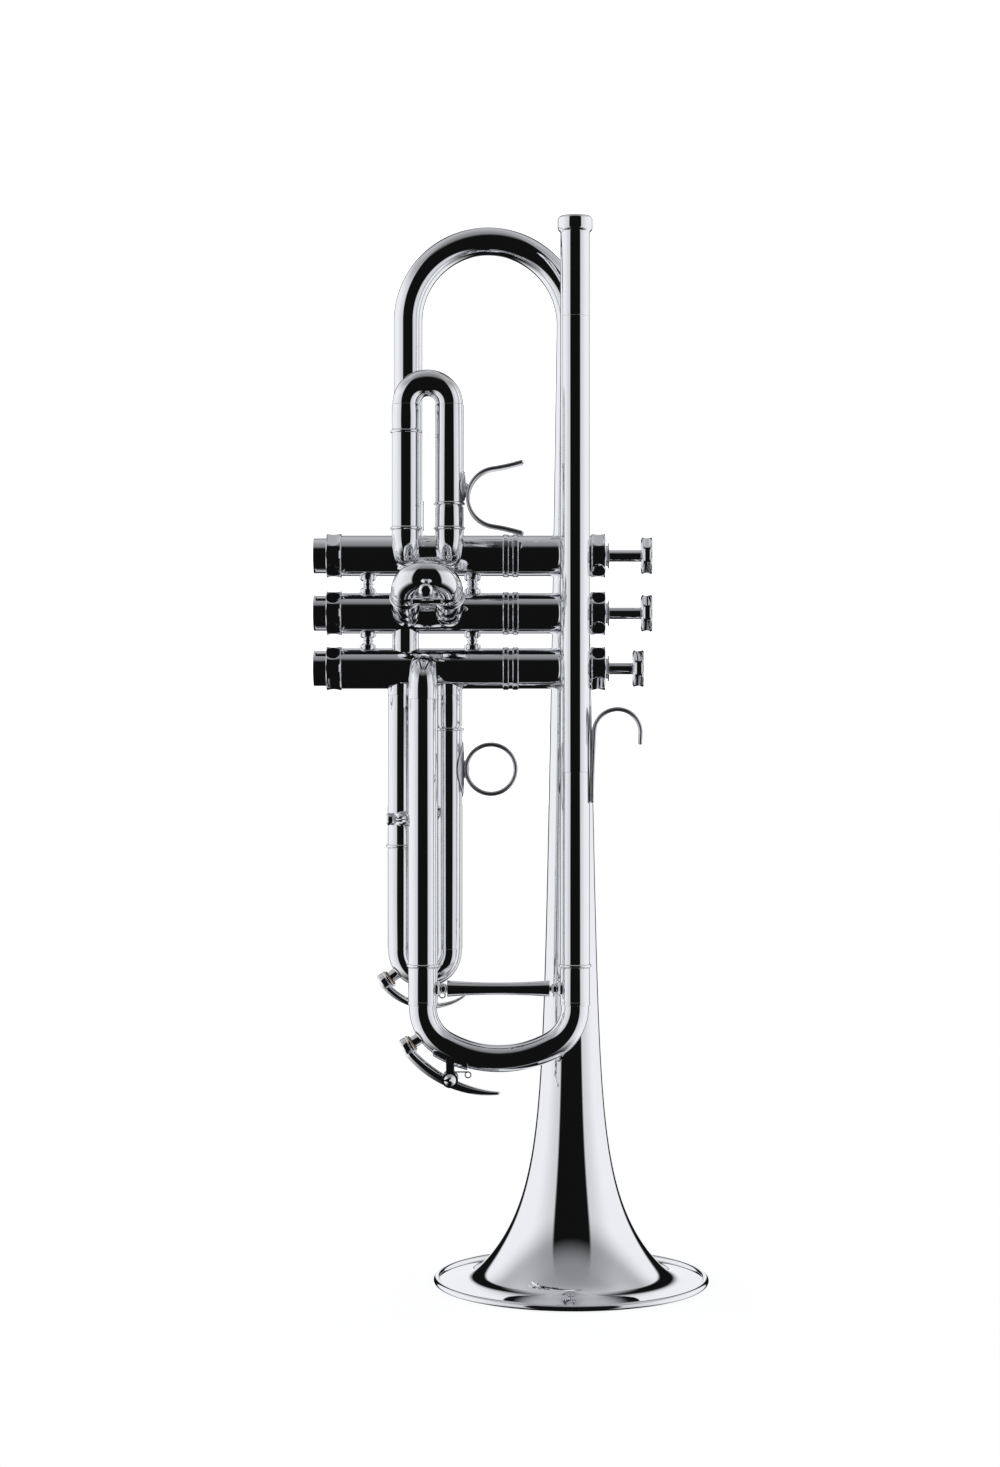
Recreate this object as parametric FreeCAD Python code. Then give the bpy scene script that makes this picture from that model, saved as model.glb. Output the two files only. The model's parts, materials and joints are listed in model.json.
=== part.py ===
import FreeCAD, Part
import math
import os

# B-flat trumpet in silver-plated brass, standing on its bell.
# Millimetres. Z runs up the bell axis from the rim plane, X runs towards the finger buttons,
# and Y runs from the leadpipe side through the valves to the bell.

V = FreeCAD.Vector
UP = V(0, 0, 1)
DOWN = V(0, 0, -1)
RIGHT = V(1, 0, 0)
FRONT = V(0, -1, 0)
BACK = V(0, 1, 0)

# ---- sheet, tube and running clearances ----
WALL = 0.5
SLIDE_FIT = 0.08
PISTON_FIT = 0.06
PIVOT_FIT = 0.06
FACE_GAP = 0.3

# ---- where the three vertical planes stand, front to back ----
LEAD_Y = -37.0
VALVE_Y = -20.0
FIRST_SLIDE_Y = -33.0
TAIL_Y = -8.0
BELL_Y = 0.0

# ---- bell ----
RIM_RADIUS = 62.0
RIM_BEAD = 1.5
RIM_WIRE = 0.8
RIM_SEAT = 1.4
STEM_RADIUS = 6.6
STEM_TOP = 442.0
STEM_TAPER = 0.0145
FLARE_SIZE = 32.5
FLARE_LENGTH = 27.0
THROAT_SIZE = 4.2
THROAT_LENGTH = 115.0
LIP_SIZE = 72.0
LIP_LENGTH = 0.9
TAIL_FERRULE_FROM = 346.0
TAIL_FERRULE_TO = 360.0

# ---- leadpipe, receiver and main tuning slide ----
LEAD_X = 0.8
LOWER_LEG_X = -67.3
LEAD_RADIUS = 6.6
RECEIVER_TOP = 484.7
RECEIVER_LENGTH = 45.0
RECEIVER_BEAD_RADIUS = 7.85
RECEIVER_BEAD_LENGTH = 6.7
SOCKET_RADIUS = 4.95
SOCKET_DEPTH = 24.0
VENTURI_RADIUS = 4.4
LEADPIPE_END = 236.0
BELL_BRACE_Z = (245.0, 378.0)
BRACE_PAD = 5.0
MAIN_RING_Z = 148.6
MAIN_ENGAGED = 70.0
FERRULE_END = 131.6
CROOK_RADIUS = 6.2
CROOK_CORNER = 19.0
CROOK_BOTTOM_ARC = 50.0
BRACE_Z = 139.0
RING_BEAD = 0.75
RING_STAND = 0.7

# ---- valves ----
CASING_Z = (333.9, 307.8, 282.7)
CASING_OUTER = 9.45
CASING_BORE = 8.45
CASING_FROM = -110.4
CASING_TO = 13.0
THREAD_OUTER = 9.0
BAND_RADIUS = 10.2
BOTTOM_BAND = (-111.4, -104.6)
BOTTOM_TIP = -117.3
BOTTOM_TIP_RADIUS = 8.15
TOP_BAND = (8.6, 14.9)
CAP_COLLAR_RADIUS = 4.7
CAP_DISC_RADIUS = 5.9
CAP_DISC = (16.1, 16.7)
JOINT_RING = (-31.4, -24.6)
JOINT_RING_RADIUS = 10.0
STEM_ROD = 2.7
BUTTON = (31.1, 36.3)
BUTTON_RADIUS = 8.65
THIRD_BUTTON_DROP = 3.8
STROKE = 14.0
PISTON_FROM = -96.0
PISTON_TO = -31.0
BARREL_TO = 1.0
BARREL_WALL = 0.9
GUIDE = (-29.0, -26.4)
PASSAGE_RADIUS = 5.2
SPRING_RADIUS = 5.6
SPRING_WIRE = 0.45
SPRING_TURNS = 7
FACETS = 8
FLAT_DEPTH = 0.4
CAP_WALL = 1.2
VENT_RADIUS = 1.5
STEM_SHOULDER = (1.6, 5.0)
STEM_SPIGOT = (1.5, 2.0)
BUTTON_SCREW = (3.0, 1.5)
GUIDE_KEY_WIDTH = 2.8
KEYWAY_WIDTH = 3.0
BARREL_SLOT_WIDTH = 3.6
DRILL_LENGTH = 12.0
BORE_REACH = 40.0

# ---- valve tubing ----
TUBE_RADIUS = 6.5
PORT_LEFT = -75.0
PORT_RIGHT = -55.6
ELBOW = 8.0
FIRST_RING_Z = (389.5, 355.6)
FIRST_TOP_Z = 401.0
FIRST_ENGAGED = 42.0
SECOND_TILT = 38.0
SECOND_ELBOW = 10.0
SECOND_RING = 7.2
SECOND_CROOK = 12.0
KNOB_TILT = -20.0
THIRD_PORTS = (-77.3, -56.4)
THIRD_RING_Z = (201.4, 255.9)
THIRD_BOTTOM_Z = 155.5
THIRD_ENGAGED = 65.0
CROSSOVER_RADIUS = 6.2
CROSSOVER_X = (-65.3, -75.8)
BALUSTER_X = (-92.8, -45.3)
BALUSTER_FLANGE = 3.8
BALUSTER_WAIST = 2.3

# ---- hand fittings ----
SADDLE_WIDTH = 11.0
STRAP = 1.8
SADDLE_CENTRE = (-34.1, 359.05)
SADDLE_RADIUS = 14.0
SADDLE_SPLAY = 8.0
SADDLE_TIP = (-22.0, 16.9)
SADDLE_PLATE_TOP = 371.0
FINGER_RING = (-36.9, 237.0)
FINGER_RING_RADIUS = 12.2
FINGER_RING_THICK = 2.0
FINGER_RING_WIDTH = 5.5
RING_PLATE_HALF = 12.5
HOOK_CENTRE = (19.8, 253.7)
HOOK_RADIUS = 11.4
HOOK_THICK = 2.0
HOOK_WIDTH = 5.0
HOOK_FOOT_Z = 222.0
HOOK_RISE_Z = 232.0
HOOK_PLATE_TOP = 266.0
STOP_SCREW_Z = 214.6

# ---- water keys ----
KEY_WIDTH = 7.0
LEVER_WIDTH = 6.0
KEY_PIN = 1.2
KEY_BARREL = 2.6
KEY_EAR = 1.3
EAR_RADIUS = 3.6
KEY_SCREW_HEAD = 2.6
KEY_PLATE = 1.0
SPRING_COIL = 3.1
SPRING_ROUND = 0.3
NIPPLE_RADIUS = 2.6
CUP_RADIUS = 4.2
CUP_OFF_SEAT = 3.6
CUP_LENGTH = 4.4
CUP_WALL = 0.7
CORK_PROUD = 0.5
MAIN_KEY_ANGLE = 214.0
MAIN_KEY_PIVOT = (-55.1, 98.6)
MAIN_LEVER_TOP = ((-71.0, 111.2), (-52.1, 97.8), (-33.4, 92.9))
MAIN_LEVER_UNDER = ((-74.8, 108.9), (-57.4, 95.5), (-33.4, 91.5))
MAIN_PLATE_HALF = 7.7
THIRD_KEY_ANGLE = 218.0
THIRD_KEY_PIVOT = (-67.0, 132.6)
THIRD_LEVER_TOP = ((-84.6, 141.2), (-68.5, 131.2), (-49.3, 134.4))
THIRD_LEVER_UNDER = ((-86.3, 138.0), (-66.9, 128.3), (-48.7, 133.7))
THIRD_PLATE_HALF = 6.0


# ================= shared shapes =================

def turned(corners, base, axis):
    """Solid of revolution; corners are (distance along the axis, radius)."""
    points = [V(radius, 0, along) for along, radius in corners]
    face = Part.Face(Part.makePolygon(points + [points[0]]))
    solid = face.revolve(V(0, 0, 0), UP, 360)
    solid.Placement = FreeCAD.Placement(base, FreeCAD.Rotation(UP, axis))
    return solid


def sleeve(start, end, outer, inner):
    """Plain round tube from one point to another."""
    along = end - start
    body = Part.makeCylinder(outer, along.Length, start, along)
    return body.cut(Part.makeCylinder(inner, along.Length, start, along))


def beaded_sleeve(start, end, outer, inner):
    """Slide tube with its end ring at the far end."""
    along = (end - start).normalize()
    centre = end - along * RING_BEAD
    body = Part.makeCylinder(outer, (end - start).Length, start, along)
    ring_radius = outer + RING_STAND - 0.3
    body = body.fuse(Part.makeTorus(ring_radius, RING_BEAD, centre, along))
    body = body.fuse(Part.makeCylinder(ring_radius, 2 * RING_BEAD, end - along * 2 * RING_BEAD, along))
    return body.cut(Part.makeCylinder(inner, (end - start).Length, start, along)).removeSplitter()


def sweep(edges, radius):
    """Round bar along a chain of straight runs and tangent arcs."""
    first = edges[0]
    start = first.valueAt(first.FirstParameter)
    along = first.tangentAt(first.FirstParameter)
    circle = Part.Wire([Part.makeCircle(radius, start, along)])
    return Part.Wire(edges).makePipeShell([circle], True, False)


def bent_tube(edges, outer, inner):
    """Round tube along a chain of straight runs and tangent arcs."""
    return sweep(edges, outer).cut(sweep(edges, inner))


def line(start, end):
    return Part.LineSegment(start, end).toShape()


def arc(start, middle, end):
    return Part.Arc(start, middle, end).toShape()


def quarter(start, heading, turn_to, radius):
    """Quarter arc that leaves start along heading and ends up along turn_to."""
    centre = start + turn_to * radius
    middle = centre + (heading - turn_to) * (radius / math.sqrt(2))
    return arc(start, middle, centre + heading * radius)


def strap(outline, width, y):
    """Flat strip bent to an outline of (x, z) wire edges, centred on y."""
    face = Part.Face(Part.Wire(outline))
    face.translate(V(0, y - width / 2, 0))
    return face.extrude(V(0, width, 0))


def at(x, z):
    return V(x, 0, z)


def export(name, *solids):
    """Write one node; several like solids share it."""
    shape = solids[0] if len(solids) == 1 else Part.makeCompound(list(solids))
    shape.exportStep("parts/" + name + ".step")


# ================= bell =================

def bell_radius(z):
    """Cone plus three decaying terms: throat, flare and the turned-out lip."""
    cone = STEM_RADIUS + STEM_TAPER * (STEM_TOP - z)
    throat = THROAT_SIZE * (math.exp(-z / THROAT_LENGTH) - math.exp(-STEM_TOP / THROAT_LENGTH))
    flare = FLARE_SIZE * math.exp(-z / FLARE_LENGTH)
    lip = LIP_SIZE * math.exp(-z / LIP_LENGTH)
    return cone + throat + flare + lip


def bell_height(radius):
    """Height at which the flare has a given radius, by halving."""
    low = 0.0
    high = STEM_TOP
    for _ in range(50):
        middle = (low + high) / 2
        if bell_radius(middle) > radius:
            low = middle
        else:
            high = middle
    return low


def bell_outline(offset):
    """Points of the flare, moved inwards by offset along the surface normal."""
    radii = [RIM_RADIUS - 0.4, 59.5, 57, 54, 51, 48, 45.5, 43, 40, 36, 32, 28, 24, 20.5, 18]
    heights = [bell_height(radius) for radius in radii]
    heights = heights + [80, 105, 135, 170, 210, 260, 320, 380, STEM_TOP]
    points = []
    for z in heights:
        radius = bell_radius(z)
        slope = (bell_radius(z + 0.01) - radius) / 0.01
        length = math.hypot(slope, 1.0)
        points.append(V(radius - offset / length, 0, z + offset * slope / length))
    return points


def make_bell():
    outer = bell_outline(0.0)
    inner = bell_outline(WALL)
    inner[-1].z = STEM_TOP
    outside = Part.BSplineCurve()
    outside.interpolate(outer)
    inside = Part.BSplineCurve()
    inside.interpolate(inner)
    edges = [outside.toShape(), line(outer[-1], inner[-1]), inside.toShape(), line(inner[0], outer[0])]
    shell = Part.Face(Part.Wire(edges)).revolve(V(0, 0, 0), UP, 360)
    rolled = Part.makeTorus(RIM_RADIUS, RIM_BEAD, V(0, 0, RIM_SEAT), UP)
    below = Part.makeCylinder(RIM_RADIUS + 5, RIM_BEAD, V(0, 0, -RIM_BEAD), UP)
    bell = shell.fuse(rolled.cut(below))
    bell = bell.cut(Part.makeTorus(RIM_RADIUS, RIM_WIRE, V(0, 0, RIM_SEAT), UP))
    export("bell_flare", bell)
    export("bell_rim_wire", Part.makeTorus(RIM_RADIUS, RIM_WIRE, V(0, 0, RIM_SEAT), UP))


def make_bow():
    """Bow over the top, down to the tail that enters the first valve."""
    top = V(0, BELL_Y, STEM_TOP)
    tail_x = PORT_LEFT
    far = V(tail_x, TAIL_Y, STEM_TOP)
    centre = (top + far) * 0.5
    crown = centre + UP * (far - top).Length / 2
    foot = V(tail_x, TAIL_Y, TAIL_FERRULE_FROM)
    edges = [arc(top, crown, far), line(far, foot)]
    export("bell_bow", bent_tube(edges, STEM_RADIUS, STEM_RADIUS - WALL))
    ferrule_top = V(tail_x, TAIL_Y, TAIL_FERRULE_TO)
    export("bell_tail_ferrule", sleeve(foot, ferrule_top, STEM_RADIUS + 0.6, STEM_RADIUS))
    knuckle_start = V(tail_x, TAIL_Y, CASING_Z[0] + ELBOW + 1.0)
    edges = [line(foot, knuckle_start), quarter(knuckle_start, DOWN, FRONT, ELBOW)]
    knuckle = bent_tube(edges, STEM_RADIUS, STEM_RADIUS - WALL)
    export("bell_tail_knuckle", knuckle.cut(valve_body(0)))


# ================= valves =================

def valve_point(valve, x):
    return V(x, VALVE_Y, CASING_Z[valve])


def valve_body(valve):
    """Everything inside the casing's outer wall, used to trim tubes soldered to it."""
    length = CASING_TO - CASING_FROM
    return Part.makeCylinder(CASING_OUTER, length, valve_point(valve, CASING_FROM), RIGHT)


def cross_band(valve, x, length, width):
    """Upright slab through the middle of a valve, for keys and the slots they run in."""
    corner = valve_point(valve, x) - V(0, width / 2, BORE_REACH / 2)
    return Part.makeBox(length, width, BORE_REACH, corner)


def ports(valve):
    """Drills through the casing wall for the tubes that enter this valve."""
    centre = CASING_Z[valve]
    bore = TUBE_RADIUS - WALL - 0.2
    drills = []
    if valve == 0:
        start = V(PORT_LEFT, VALVE_Y, centre + 1.0)
        drills.append(Part.makeCylinder(bore, DRILL_LENGTH, start, BACK))
        for x in (PORT_LEFT, PORT_RIGHT):
            drills.append(Part.makeCylinder(bore, DRILL_LENGTH, V(x, VALVE_Y, centre + 1.0), FRONT))
    if valve == 1:
        for x in (PORT_LEFT, PORT_RIGHT):
            drills.append(Part.makeCylinder(bore, DRILL_LENGTH, V(x, VALVE_Y, centre), FRONT))
    if valve == 2:
        for x in THIRD_PORTS:
            drills.append(Part.makeCylinder(bore, DRILL_LENGTH, V(x, VALVE_Y, centre), DOWN))
        drills.append(Part.makeCylinder(bore, DRILL_LENGTH, V(LOWER_LEG_X, VALVE_Y, centre), FRONT))
    across = CROSSOVER_RADIUS - WALL
    if valve < 2:
        drills.append(Part.makeCylinder(across, DRILL_LENGTH, valve_point(valve, CROSSOVER_X[valve]), DOWN))
    if valve > 0:
        drills.append(Part.makeCylinder(across, DRILL_LENGTH, valve_point(valve, CROSSOVER_X[valve - 1]), UP))
    return drills


def make_casing(valve):
    """Two-part casing: valve section and spring section meet at the joint ring."""
    corners = [
        (CASING_FROM, CASING_BORE), (CASING_FROM, THREAD_OUTER), (BOTTOM_BAND[1], THREAD_OUTER),
        (BOTTOM_BAND[1], CASING_OUTER), (JOINT_RING[0], CASING_OUTER), (JOINT_RING[0], JOINT_RING_RADIUS),
        (JOINT_RING[0] + 2.4, JOINT_RING_RADIUS), (JOINT_RING[0] + 2.4, CASING_OUTER + 0.1),
        (JOINT_RING[1] - 2.4, CASING_OUTER + 0.1), (JOINT_RING[1] - 2.4, JOINT_RING_RADIUS),
        (JOINT_RING[1], JOINT_RING_RADIUS), (JOINT_RING[1], CASING_OUTER), (TOP_BAND[0], CASING_OUTER),
        (TOP_BAND[0], THREAD_OUTER), (CASING_TO, THREAD_OUTER), (CASING_TO, CASING_BORE),
    ]
    casing = turned(corners, V(0, VALVE_Y, CASING_Z[valve]), RIGHT)
    for drill in ports(valve):
        casing = casing.cut(drill)
    key_slot = Part.makeCylinder(CASING_BORE + 0.5, GUIDE[1] - GUIDE[0], valve_point(valve, GUIDE[0]), RIGHT)
    key_band = cross_band(valve, GUIDE[0], GUIDE[1] - GUIDE[0], KEYWAY_WIDTH)
    casing = casing.cut(key_slot.common(key_band))
    export("valve_casing_%d" % (valve + 1), casing)


def faceted(band, valve):
    """Disc whose rim is ground into a ring of shallow flats."""
    length = band[1] - band[0]
    disc = Part.makeCylinder(BAND_RADIUS, length, valve_point(valve, band[0]), RIGHT)
    reach = (BAND_RADIUS - FLAT_DEPTH) / math.cos(math.pi / FACETS)
    turns = [2 * math.pi * k / FACETS for k in range(FACETS + 1)]
    prism = Part.makePolygon([
        valve_point(valve, band[0]) + V(0, reach * math.cos(turn), reach * math.sin(turn))
        for turn in turns])
    return disc.common(Part.Face(prism).extrude(V(length, 0, 0)))


def make_bottom_cap(valve):
    cap = faceted(BOTTOM_BAND, valve)
    tip_length = BOTTOM_BAND[0] - BOTTOM_TIP
    cap = cap.fuse(Part.makeCylinder(BOTTOM_TIP_RADIUS, tip_length, valve_point(valve, BOTTOM_TIP), RIGHT))
    thread_length = BOTTOM_BAND[1] - CASING_FROM
    cap = cap.cut(Part.makeCylinder(THREAD_OUTER, thread_length, valve_point(valve, CASING_FROM), RIGHT))
    floor = valve_point(valve, BOTTOM_TIP + CAP_WALL)
    hollow = Part.makeCylinder(BOTTOM_TIP_RADIUS - CAP_WALL, 10, floor, RIGHT)
    vent = Part.makeCylinder(VENT_RADIUS, 5, valve_point(valve, BOTTOM_TIP - 1), RIGHT)
    return cap.cut(hollow).cut(vent)


def make_top_cap(valve):
    cap = faceted(TOP_BAND, valve)
    collar_start = valve_point(valve, TOP_BAND[1])
    cap = cap.fuse(Part.makeCylinder(CAP_COLLAR_RADIUS, CAP_DISC[1] - TOP_BAND[1], collar_start, RIGHT))
    disc_start = valve_point(valve, CAP_DISC[0])
    cap = cap.fuse(Part.makeCylinder(CAP_DISC_RADIUS, CAP_DISC[1] - CAP_DISC[0], disc_start, RIGHT))
    inside_start = valve_point(valve, TOP_BAND[0])
    inside = Part.makeCylinder(THREAD_OUTER, CASING_TO - TOP_BAND[0], inside_start, RIGHT)
    guide_hole = Part.makeCylinder(STEM_ROD + 0.09, 20, inside_start, RIGHT)
    return cap.cut(inside).cut(guide_hole)


def valve_drop(valve):
    """The third valve stands a little way down at rest."""
    return THIRD_BUTTON_DROP if valve == 2 else 0.0


def make_piston(valve):
    """Ported piston with its spring barrel, which is slotted for the guide's keys."""
    x0 = -valve_drop(valve)
    radius = CASING_BORE - PISTON_FIT
    inside = radius - BARREL_WALL
    length, hole = STEM_SPIGOT
    corners = [
        (PISTON_FROM, 0), (PISTON_FROM, radius), (BARREL_TO, radius), (BARREL_TO, hole),
        (BARREL_TO - length, hole), (BARREL_TO - length, inside), (PISTON_TO, inside), (PISTON_TO, 0),
    ]
    piston = turned(corners, V(x0, VALVE_Y, CASING_Z[valve]), RIGHT)
    foot = Part.makeCylinder(inside, 15, valve_point(valve, PISTON_FROM + x0 - 1), RIGHT)
    piston = piston.cut(foot)
    for x, heading in ((PORT_LEFT, UP), (PORT_LEFT + STROKE, BACK), (PORT_RIGHT + STROKE, FRONT)):
        start = valve_point(valve, x + x0) - heading * 12
        piston = piston.cut(Part.makeCylinder(PASSAGE_RADIUS, 24, start, heading))
    slot_from = GUIDE[0] - 0.8 + x0
    slot_length = GUIDE[1] - GUIDE[0] + STROKE + 1.6
    slot = cross_band(valve, slot_from, slot_length, BARREL_SLOT_WIDTH)
    export("piston_%d" % (valve + 1), piston.cut(slot))


def make_stem(valve):
    seat = BARREL_TO - valve_drop(valve)
    end = BUTTON[0] - valve_drop(valve)
    corners = [
        (seat - STEM_SPIGOT[0], 0), (seat - STEM_SPIGOT[0], STEM_SPIGOT[1]), (seat, STEM_SPIGOT[1]),
        (seat, STEM_SHOULDER[1]), (seat + STEM_SHOULDER[0], STEM_SHOULDER[1]),
        (seat + STEM_SHOULDER[0], STEM_ROD), (end, STEM_ROD), (end, BUTTON_SCREW[1]),
        (end + BUTTON_SCREW[0], BUTTON_SCREW[1]), (end + BUTTON_SCREW[0], 0),
    ]
    export("valve_stem_%d" % (valve + 1), turned(corners, V(0, VALVE_Y, CASING_Z[valve]), RIGHT))


def make_button(valve):
    """Dished finger button with a ring of ground flats round its edge."""
    x0 = -valve_drop(valve)
    length = BUTTON[1] - BUTTON[0]
    corners = [
        (0, BUTTON_SCREW[1]), (0, 7.6), (0.7, BUTTON_RADIUS), (length - 0.7, BUTTON_RADIUS),
        (length, 7.9), (length - 0.2, 7.0), (length - 0.8, 0), (BUTTON_SCREW[0], 0), BUTTON_SCREW,
    ]
    button = turned(corners, V(BUTTON[0] + x0, VALVE_Y, CASING_Z[valve]), RIGHT)
    export("finger_button_%d" % (valve + 1), button)


def make_spring(valve):
    """Coil spring between the guide and the top of the spring barrel, swept in quarter turns."""
    x0 = -valve_drop(valve)
    start = GUIDE[1] + SPRING_WIRE + 0.05
    end = BARREL_TO - 1.5 + x0 - SPRING_WIRE - 0.05
    pitch = (end - start) / SPRING_TURNS
    piece = Part.makeHelix(pitch, pitch / 4, SPRING_RADIUS).Edges[0]
    edges = []
    for turn in range(4 * SPRING_TURNS):
        edge = piece.copy()
        edge.rotate(V(0, 0, 0), UP, 90 * turn)
        edge.translate(UP * (pitch / 4 * turn))
        edges.append(edge)
    lead = V(0, 2 * math.pi * SPRING_RADIUS, pitch)
    sweeper = Part.BRepOffsetAPI.MakePipeShell(Part.Wire(edges))
    sweeper.setBiNormalMode(UP)
    sweeper.add(Part.Wire([Part.makeCircle(SPRING_WIRE, V(SPRING_RADIUS, 0, 0), lead)]))
    sweeper.build()
    sweeper.makeSolid()
    coil = sweeper.shape()
    coil.Placement = FreeCAD.Placement(V(start, VALVE_Y, CASING_Z[valve]), FreeCAD.Rotation(UP, RIGHT))
    export("valve_spring_%d" % (valve + 1), coil)


def make_guide(valve):
    """Disc that stands still inside the barrel, keyed to the casing on both sides."""
    length = GUIDE[1] - GUIDE[0]
    disc_radius = CASING_BORE - PISTON_FIT - BARREL_WALL - 0.4
    disc = Part.makeCylinder(disc_radius, length, valve_point(valve, GUIDE[0]), RIGHT)
    keys = Part.makeCylinder(CASING_BORE + 0.45, length, valve_point(valve, GUIDE[0]), RIGHT)
    guide = disc.fuse(keys.common(cross_band(valve, GUIDE[0], length, GUIDE_KEY_WIDTH)))
    return guide.cut(Part.makeCylinder(2.5, length, valve_point(valve, GUIDE[0]), RIGHT))


def make_valves():
    for valve in range(3):
        make_casing(valve)
        make_piston(valve)
        make_stem(valve)
        make_button(valve)
        make_spring(valve)
    export("bottom_caps", *[make_bottom_cap(valve) for valve in range(3)])
    export("top_caps", *[make_top_cap(valve) for valve in range(3)])
    export("valve_guides", *[make_guide(valve) for valve in range(3)])


def make_balusters():
    """Turned spools soldered between neighbouring casings."""
    spools = []
    wide = BALUSTER_FLANGE
    waist = BALUSTER_WAIST
    bead = BALUSTER_WAIST + 0.8
    for valve in (0, 1):
        low = CASING_Z[valve + 1]
        gap = CASING_Z[valve] - low - 2 * CASING_OUTER
        side = CASING_OUTER
        steps = [
            (0.20, wide), (0.32, waist), (0.44, waist), (0.47, bead),
            (0.53, bead), (0.56, waist), (0.68, waist), (0.80, wide),
        ]
        profile = [(side + share * gap, radius) for share, radius in steps]
        start = [(side - 1.0, 0), (side - 1.0, wide)]
        end = [(side + gap + 1.0, wide), (side + gap + 1.0, 0)]
        for x in BALUSTER_X:
            spool = turned(start + profile + end, V(x, VALVE_Y, low), UP)
            spools.append(spool.cut(valve_body(valve)).cut(valve_body(valve + 1)))
    export("casing_balusters", *spools)


def make_crossovers():
    """Short tubes that carry the air from one casing to the next."""
    tubes = []
    for valve in (0, 1):
        start = valve_point(valve + 1, CROSSOVER_X[valve])
        end = valve_point(valve, CROSSOVER_X[valve])
        tube = sleeve(start, end, CROSSOVER_RADIUS, CROSSOVER_RADIUS - WALL)
        tubes.append(tube.cut(valve_body(valve)).cut(valve_body(valve + 1)))
    export("crossover_tubes", *tubes)


# ================= leadpipe side =================

def make_leadpipe():
    """Receiver, tapered leadpipe and the outer tube of the upper slide leg, all in line."""
    top = V(LEAD_X, LEAD_Y, RECEIVER_TOP)
    low = RECEIVER_TOP - RECEIVER_LENGTH
    bead_low = RECEIVER_TOP - RECEIVER_BEAD_LENGTH
    socket_end = RECEIVER_TOP - SOCKET_DEPTH
    soft = 1.2
    corners = [
        (low, VENTURI_RADIUS), (low, LEAD_RADIUS), (bead_low, LEAD_RADIUS),
        (bead_low, RECEIVER_BEAD_RADIUS - soft), (bead_low + soft, RECEIVER_BEAD_RADIUS),
        (RECEIVER_TOP - soft, RECEIVER_BEAD_RADIUS), (RECEIVER_TOP, RECEIVER_BEAD_RADIUS - soft),
        (RECEIVER_TOP, SOCKET_RADIUS), (socket_end, SOCKET_RADIUS), (socket_end, VENTURI_RADIUS),
    ]
    export("mouthpiece_receiver", turned(corners, V(LEAD_X, LEAD_Y, 0), UP))
    corners = [
        (LEADPIPE_END, LEAD_RADIUS - WALL - 0.1), (LEADPIPE_END, LEAD_RADIUS),
        (low, LEAD_RADIUS), (low, VENTURI_RADIUS),
    ]
    export("leadpipe", turned(corners, V(LEAD_X, LEAD_Y, 0), UP))
    start = V(LEAD_X, LEAD_Y, LEADPIPE_END)
    end = V(LEAD_X, LEAD_Y, MAIN_RING_Z)
    export("upper_slide_tube", beaded_sleeve(start, end, LEAD_RADIUS, LEAD_RADIUS - WALL))


def make_lower_leg():
    """Lower outer slide tube and the knuckle that turns it into the third valve."""
    bend = 10.0
    knuckle_start = V(LOWER_LEG_X, LEAD_Y, CASING_Z[2] - bend)
    start = V(LOWER_LEG_X, LEAD_Y, knuckle_start.z - 4)
    end = V(LOWER_LEG_X, LEAD_Y, MAIN_RING_Z)
    export("lower_slide_tube", beaded_sleeve(start, end, LEAD_RADIUS, LEAD_RADIUS - WALL))
    edges = [line(start, knuckle_start), quarter(knuckle_start, UP, BACK, bend)]
    knuckle = bent_tube(edges, LEAD_RADIUS, LEAD_RADIUS - WALL)
    export("lower_slide_knuckle", knuckle.cut(valve_body(2)))


def make_braces():
    """Two stays between leadpipe and bell: curved pads at both ends of a waisted post."""
    pad = 0.8
    braces = []
    for z in BELL_BRACE_Z:
        low = V(LEAD_X, LEAD_Y, z - BRACE_PAD)
        lead_pad = sleeve(low, low + UP * 2 * BRACE_PAD, LEAD_RADIUS + pad, LEAD_RADIUS)
        lead_pad = lead_pad.common(Part.makeCylinder(BRACE_PAD, 12, V(LEAD_X, LEAD_Y, z), BACK))
        wide = bell_radius(z - BRACE_PAD)
        narrow = bell_radius(z + BRACE_PAD)
        foot = V(0, BELL_Y, z - BRACE_PAD)
        bell_pad = Part.makeCone(wide + pad, narrow + pad, 2 * BRACE_PAD, foot, UP)
        bell_pad = bell_pad.cut(Part.makeCone(wide, narrow, 2 * BRACE_PAD, foot, UP))
        bell_pad = bell_pad.common(Part.makeCylinder(BRACE_PAD, 14, V(0, BELL_Y, z), FRONT))
        start_y = LEAD_Y + LEAD_RADIUS + 0.3
        span = BELL_Y - bell_radius(z) - 0.3 - start_y
        corners = [
            (0, 0), (0, 3.2), (1.6, 2.4), (span * 0.4, 1.7), (span * 0.45, 2.4), (span * 0.55, 2.4),
            (span * 0.6, 1.7), (span - 1.6, 2.4), (span, 3.2), (span, 0),
        ]
        post = turned(corners, V(LEAD_X / 2, start_y, z), BACK)
        braces.append(post.fuse(lead_pad).fuse(bell_pad))
    export("bell_braces", *braces)


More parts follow.
